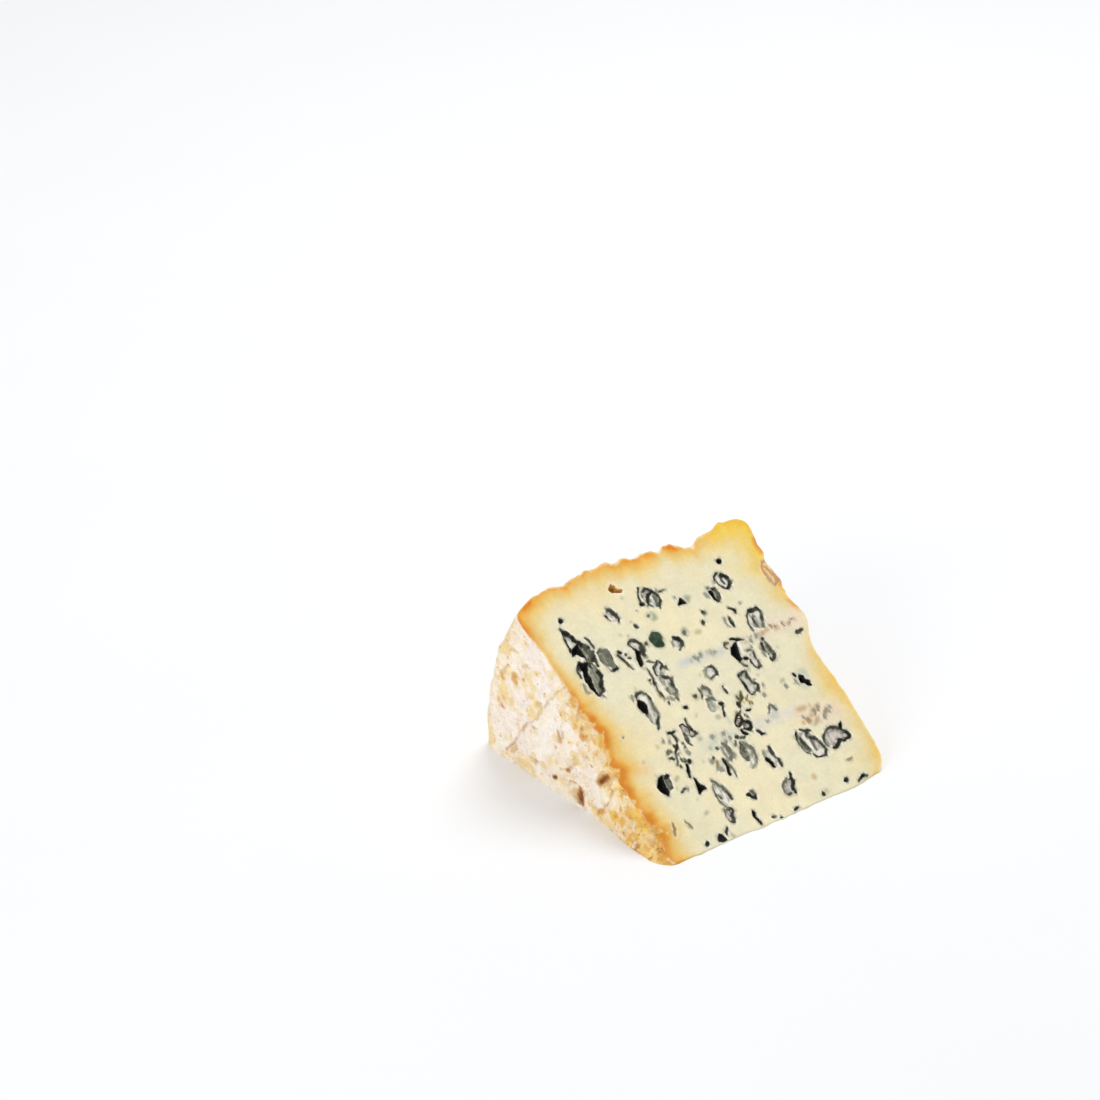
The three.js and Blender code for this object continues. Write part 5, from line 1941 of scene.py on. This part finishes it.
@dataclass(frozen=True)
class PasteFinish:
    """Moist cut paste with mould in its hollows.

    The glow is the share of light that wanders inside, as far as the glow depth. Ragged is how uneven the
    rims are. Both lengths are in millimetres. The painted rim highlight says how strongly the paste is
    painted paler next to a rim, a painted highlight, and the dust how strongly grey dust lies round dark
    bodies.
    """

    roughness: float = 0.5
    mould_roughness: float = 0.9
    glow: float = 0.15
    glow_depth: float = 2.5
    ragged: float = 0.34
    halo: float = 0.3
    dust: float = 0.6
    cut_angle: float = Drum.cut_angle
    halo_tone: Colour = (248, 242, 226)
    streak_light: Colour = (246, 243, 232)
    streak_dark: Colour = (118, 116, 100)
    mould_light: Colour = (96, 98, 80)
    dust_tone: Colour = (128, 128, 106)

    def build(self) -> bpy.types.Material:
        """Makes the material, laid in turn: paste, hollows' floors, rims and patches of mould, dark bodies.

        Returns:
            The material.
        """
        g = Graph("paste")
        raggedness = g.math("MULTIPLY_ADD", g.noise(1.5), 2 * self.ragged, -self.ragged)
        hollow = g.math("ADD", g.attribute("hollow"), raggedness)
        body = g.math("ADD", g.attribute("body"), raggedness)
        rim = g.attribute("rim")
        fine = g.noise(0.5)

        tone = g.attribute("tone", colour=True)
        shade = g.step(g.noise(0.9, 3, 0.6), 0.3, 0.7, 0.955, 1.02)
        tone = g.mix(1, tone, g.grey(shade), "MULTIPLY")
        clouds = g.step(g.noise(5), 0.3, 0.7, 0.97, 1.03)
        tone = g.mix(1, tone, g.grey(clouds), "MULTIPLY")
        # Painted highlight: the paste is painted paler in a band just outside each hollow and dark body
        nearest = g.math("MAXIMUM", hollow, body)
        outside = g.math("MULTIPLY", g.step(nearest, -1.3, -0.4), self.halo)
        tone = g.mix(outside, tone, self.halo_tone)

        floor = g.attribute("floor", colour=True)
        streaks = g.noise(1, place=g.stretched(self.cut_angle, Vector((1, 1 / 0.3, 1))))
        streaked = g.attribute("streaks")
        floor = g.mix(g.math("MULTIPLY", g.step(streaks, 0.5, 0.64), streaked), floor, self.streak_light)
        floor = g.mix(g.math("MULTIPLY", g.step(streaks, 0.46, 0.34), streaked), floor, self.streak_dark)
        dark = g.mix(g.step(fine, 0.45, 0.75, 0, 0.24), g.attribute("dark", colour=True), self.mould_light)

        inside = g.step(hollow, -0.14, 0.22)
        colour = g.mix(inside, tone, floor)
        off_line = g.math("ABSOLUTE", g.math("SUBTRACT", hollow, 0.14))
        core, edge = g.math("MULTIPLY", rim, 0.28), g.math("MULTIPLY_ADD", rim, 0.72, 0.02)
        line = g.step(off_line, core, edge, 1, 0)
        line = g.math("MULTIPLY", line, g.step(rim, 0.05, 0.3))
        fill = g.math("MULTIPLY_ADD", g.attribute("fill"), 1.1, -0.45)
        cloudy = g.math("MULTIPLY_ADD", g.noise(1.3, 3, 0.6), 0.5, 0.5)
        streaky = g.math("MULTIPLY_ADD", streaks, -0.5, cloudy)
        patch = g.step(g.math("ADD", streaky, fill), 0.28, 0.40)
        mould = g.math("MAXIMUM", line, g.math("MULTIPLY", patch, inside))
        mould = g.math("MAXIMUM", mould, g.step(body, -0.38, 0.12))
        dust = g.math("MULTIPLY", g.step(body, -1.25, -0.15), self.dust)
        colour = g.mix(g.math("MULTIPLY", dust, g.step(streaks, 0.62, 0.4)), colour, self.dust_tone)
        colour = g.mix(mould, colour, dark)

        covered = g.math("MAXIMUM", mould, g.math("MULTIPLY", inside, 0.6))
        span = self.mould_roughness - self.roughness
        relief = g.math("MULTIPLY_ADD", fine, 0.35, g.noise(1.8, 3))
        fluff = g.math("MULTIPLY", covered, g.noise(0.35, 1))
        return g.finish(
            {
                "Base Color": colour,
                "Roughness": g.math("MULTIPLY_ADD", covered, span, self.roughness),
                "Subsurface Weight": self.glow,
                "Subsurface Radius": Vector((1, 0.75, 0.45)),
                "Subsurface Scale": self.glow_depth * MM,
                "Specular IOR Level": 0.35,
                "Normal": g.bump(g.math("MULTIPLY_ADD", fluff, 0.8, relief), 0.14),
            }
        )


@dataclass(frozen=True)
class RindFinish:
    """Dry rind with a floury sheen, crusts with browned rims, fine cracks and ochre specks."""

    roughness: float = 0.85
    sheen: float = 0.15
    flour: Colour = (254, 246, 236)
    crust: Colour = (242, 208, 138)
    gold: Colour = (224, 168, 78)
    crust_rim: Colour = (190, 138, 84)
    crack: Colour = (200, 160, 124)
    dot: Colour = (158, 104, 56)

    def build(self) -> bpy.types.Material:
        """Makes the material, laid in turn: white flour, crusts with browned rims, cracks and dots.

        Returns:
            The material.
        """
        g = Graph("rind")
        speckle, crease = g.attribute("speckle"), g.attribute("crease")
        mottle = g.step(g.noise(3, 4, 0.6), 0.3, 0.7, 0.92, 1.04)
        tone = g.mix(1, g.attribute("tone", colour=True), g.grey(mottle), "MULTIPLY")
        # Painted shade: less white flour in creases and pits; crusty ground also gets less flour
        less = g.math("MULTIPLY_ADD", speckle, 0.14, g.math("MULTIPLY", crease, 0.25))
        flour = g.math("SUBTRACT", g.noise(4, 4, 0.62), less)
        lumps = g.noise(5.5, 4, 0.62)
        crusty = g.math("ADD", lumps, g.math("MULTIPLY_ADD", speckle, 0.10, -0.09))
        golden = g.math("ADD", g.noise(2.8, 3, 0.6), g.math("MULTIPLY_ADD", speckle, 0.10, -0.11))
        rim = g.step(g.math("ABSOLUTE", g.math("SUBTRACT", crusty, 0.53)), 0, 0.016, 1, 0)
        off_crack = g.math("ABSOLUTE", g.math("SUBTRACT", g.noise(9, 5, 0.6), 0.5))
        cracks = g.step(off_crack, 0, 0.009, 0.6, 0)
        dots = g.math("ADD", g.noise(2.2), g.math("MULTIPLY_ADD", speckle, 0.06, -0.06))
        layers = (
            (g.step(flour, 0.46, 0.60, 0, 0.55), self.flour),
            (g.step(crusty, 0.52, 0.60, 0, 0.6), self.crust),
            (g.step(golden, 0.52, 0.62, 0, 0.8), self.gold),
            (g.math("MULTIPLY", rim, g.step(g.noise(2), 0.45, 0.6, 0, 0.7)), self.crust_rim),
            (g.math("MULTIPLY", cracks, g.step(g.noise(9, 1), 0.45, 0.6)), self.crack),
            (g.step(dots, 0.66, 0.73, 0, 0.8), self.dot),
        )
        for amount, colour in layers:
            tone = g.mix(amount, tone, colour)
        # The bump rises with the flour, so raised places are painted whiter: a painted highlight
        relief = g.math("MULTIPLY_ADD", g.noise(0.8), 0.15, g.math("MULTIPLY_ADD", lumps, 1.2, flour))
        values = {"Base Color": tone, "Roughness": self.roughness, "Specular IOR Level": 0.25}
        return g.finish({**values, "Sheen Weight": self.sheen, "Normal": g.bump(relief, 1.2)})


@dataclass(frozen=True)
class FloorFinish:
    """Plain white floor, in two screen colours that hardly differ."""

    colour: Colour = (248, 249, 251)
    cloud: Colour = (250, 251, 253)
    roughness: float = 0.9

    def build(self) -> bpy.types.Material:
        """Makes the material, with the faintest cloudiness.

        Returns:
            The material.
        """
        g = Graph("floor")
        cloud = g.step(g.noise(90), 0.3, 0.7, 0, 0.3)
        tone = g.mix(cloud, self.colour, self.cloud)
        return g.finish({"Base Color": tone, "Roughness": self.roughness, "Specular IOR Level": 0.1})


@dataclass
class Studio:
    """Camera, soft light and floor.

    The camera's azimuth, from straight in front, and its elevation are in degrees. Its distance and its
    shifts to the right and up, from the drum's corner, are in millimetres, like the sensor. The focal length
    is in pixels of the photograph's width. The lamp high behind is the key, the one low on the left the fill.
    Places, the lamps' diameter and the floor's half side are in metres, and power is in watts.
    """

    drum: Drum
    node: str = "cheese_wedge"
    azimuth: float = -37.7
    elevation: float = 27.7
    distance: float = 1277.0
    right: float = -36.8
    up: float = 101.3
    focal_pixels: float = 4000.0
    frame_pixels: float = 1100.0
    sensor: float = 36.0
    sky: float = 0.66
    key_place: tuple[float, float, float] = (0.45, 0.32, 1.17)
    key_power: float = 6.3
    fill_place: tuple[float, float, float] = (-1.1, -0.4, 0.38)
    fill_power: float = 4.1
    lamp_size: float = 0.75
    aim: tuple[float, float, float] = (0.0, 0.0, 0.03)
    floor_half: float = 6.0

    def camera(self) -> None:
        """Makes the camera, looking level to its horizon along a line past the wedge's left nose corner."""
        turn, rise = math.radians(self.azimuth), math.radians(self.elevation)
        back = Vector((math.sin(turn) * math.cos(rise), -math.cos(turn) * math.cos(rise), math.sin(rise)))
        right = (-back).cross(Vector((0, 0, 1))).normalized()
        up = right.cross(-back)
        low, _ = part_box(self.node)
        corner = low - Vector((*self.drum.low_corner, 0)) * MM
        data = bpy.data.cameras.new("camera")
        data.lens = self.focal_pixels / self.frame_pixels * self.sensor
        data.sensor_width = self.sensor
        data.clip_start, data.clip_end = 0.01, 50
        camera = placed("camera", data)
        camera.location = corner + (back * self.distance + right * self.right + up * self.up) * MM
        camera.rotation_euler = Matrix((right, up, back)).transposed().to_euler()
        bpy.context.scene.camera = camera

    def light(self) -> None:
        """Lights the scene with even white surroundings, a soft lamp behind and a weaker one on the left."""
        scene, world = bpy.context.scene, bpy.data.worlds.new("surroundings")
        world.use_nodes = True
        background = world.node_tree.nodes["Background"].inputs
        background["Color"].default_value = (1.0, 1.0, 1.0, 1.0)
        background["Strength"].default_value = self.sky
        scene.world = world
        scene.view_settings.view_transform = "Standard"
        self.lamp("key", self.key_place, self.key_power)
        self.lamp("fill", self.fill_place, self.fill_power)

    def lamp(self, name: str, place: tuple[float, float, float], power: float) -> None:
        """Hangs a round soft lamp that points at the wedge.

        Args:
            name: Its name.
            place: Its place in metres.
            power: Its power in watts.
        """
        data = bpy.data.lights.new(name, "AREA")
        data.shape = "DISK"
        data.size = self.lamp_size
        data.energy = power
        lamp = placed(name, data)
        lamp.location = place
        lamp.rotation_euler = (Vector(self.aim) - lamp.location).to_track_quat("-Z", "Y").to_euler()

    def floor(self) -> bpy.types.Object:
        """Makes the floor, a square under the wedge.

        Returns:
            The floor.
        """
        half = self.floor_half
        mesh = bpy.data.meshes.new("floor")
        corners = [(-half, -half, 0), (half, -half, 0), (half, half, 0), (-half, half, 0)]
        mesh.from_pydata(corners, [], [(0, 1, 2, 3)])
        mesh.materials.append(FloorFinish().build())
        return placed("floor", mesh)


def main() -> None:
    """Builds the scene and reports each piece."""
    logging.basicConfig(level=logging.INFO, format="%(message)s")
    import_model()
    drum = Drum()
    studio = Studio(drum)
    studio.camera()
    studio.light()
    floor = studio.floor()
    wedge = CheeseWedge(drum)
    piece = wedge.build(PasteFinish().build(), RindFinish().build())
    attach(piece, "root")
    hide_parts(wedge.node)
    LOG.info("%s: %d triangles", piece.name, len(piece.data.polygons))
    bpy.context.view_layer.update()


if __name__ == "__main__":
    main()
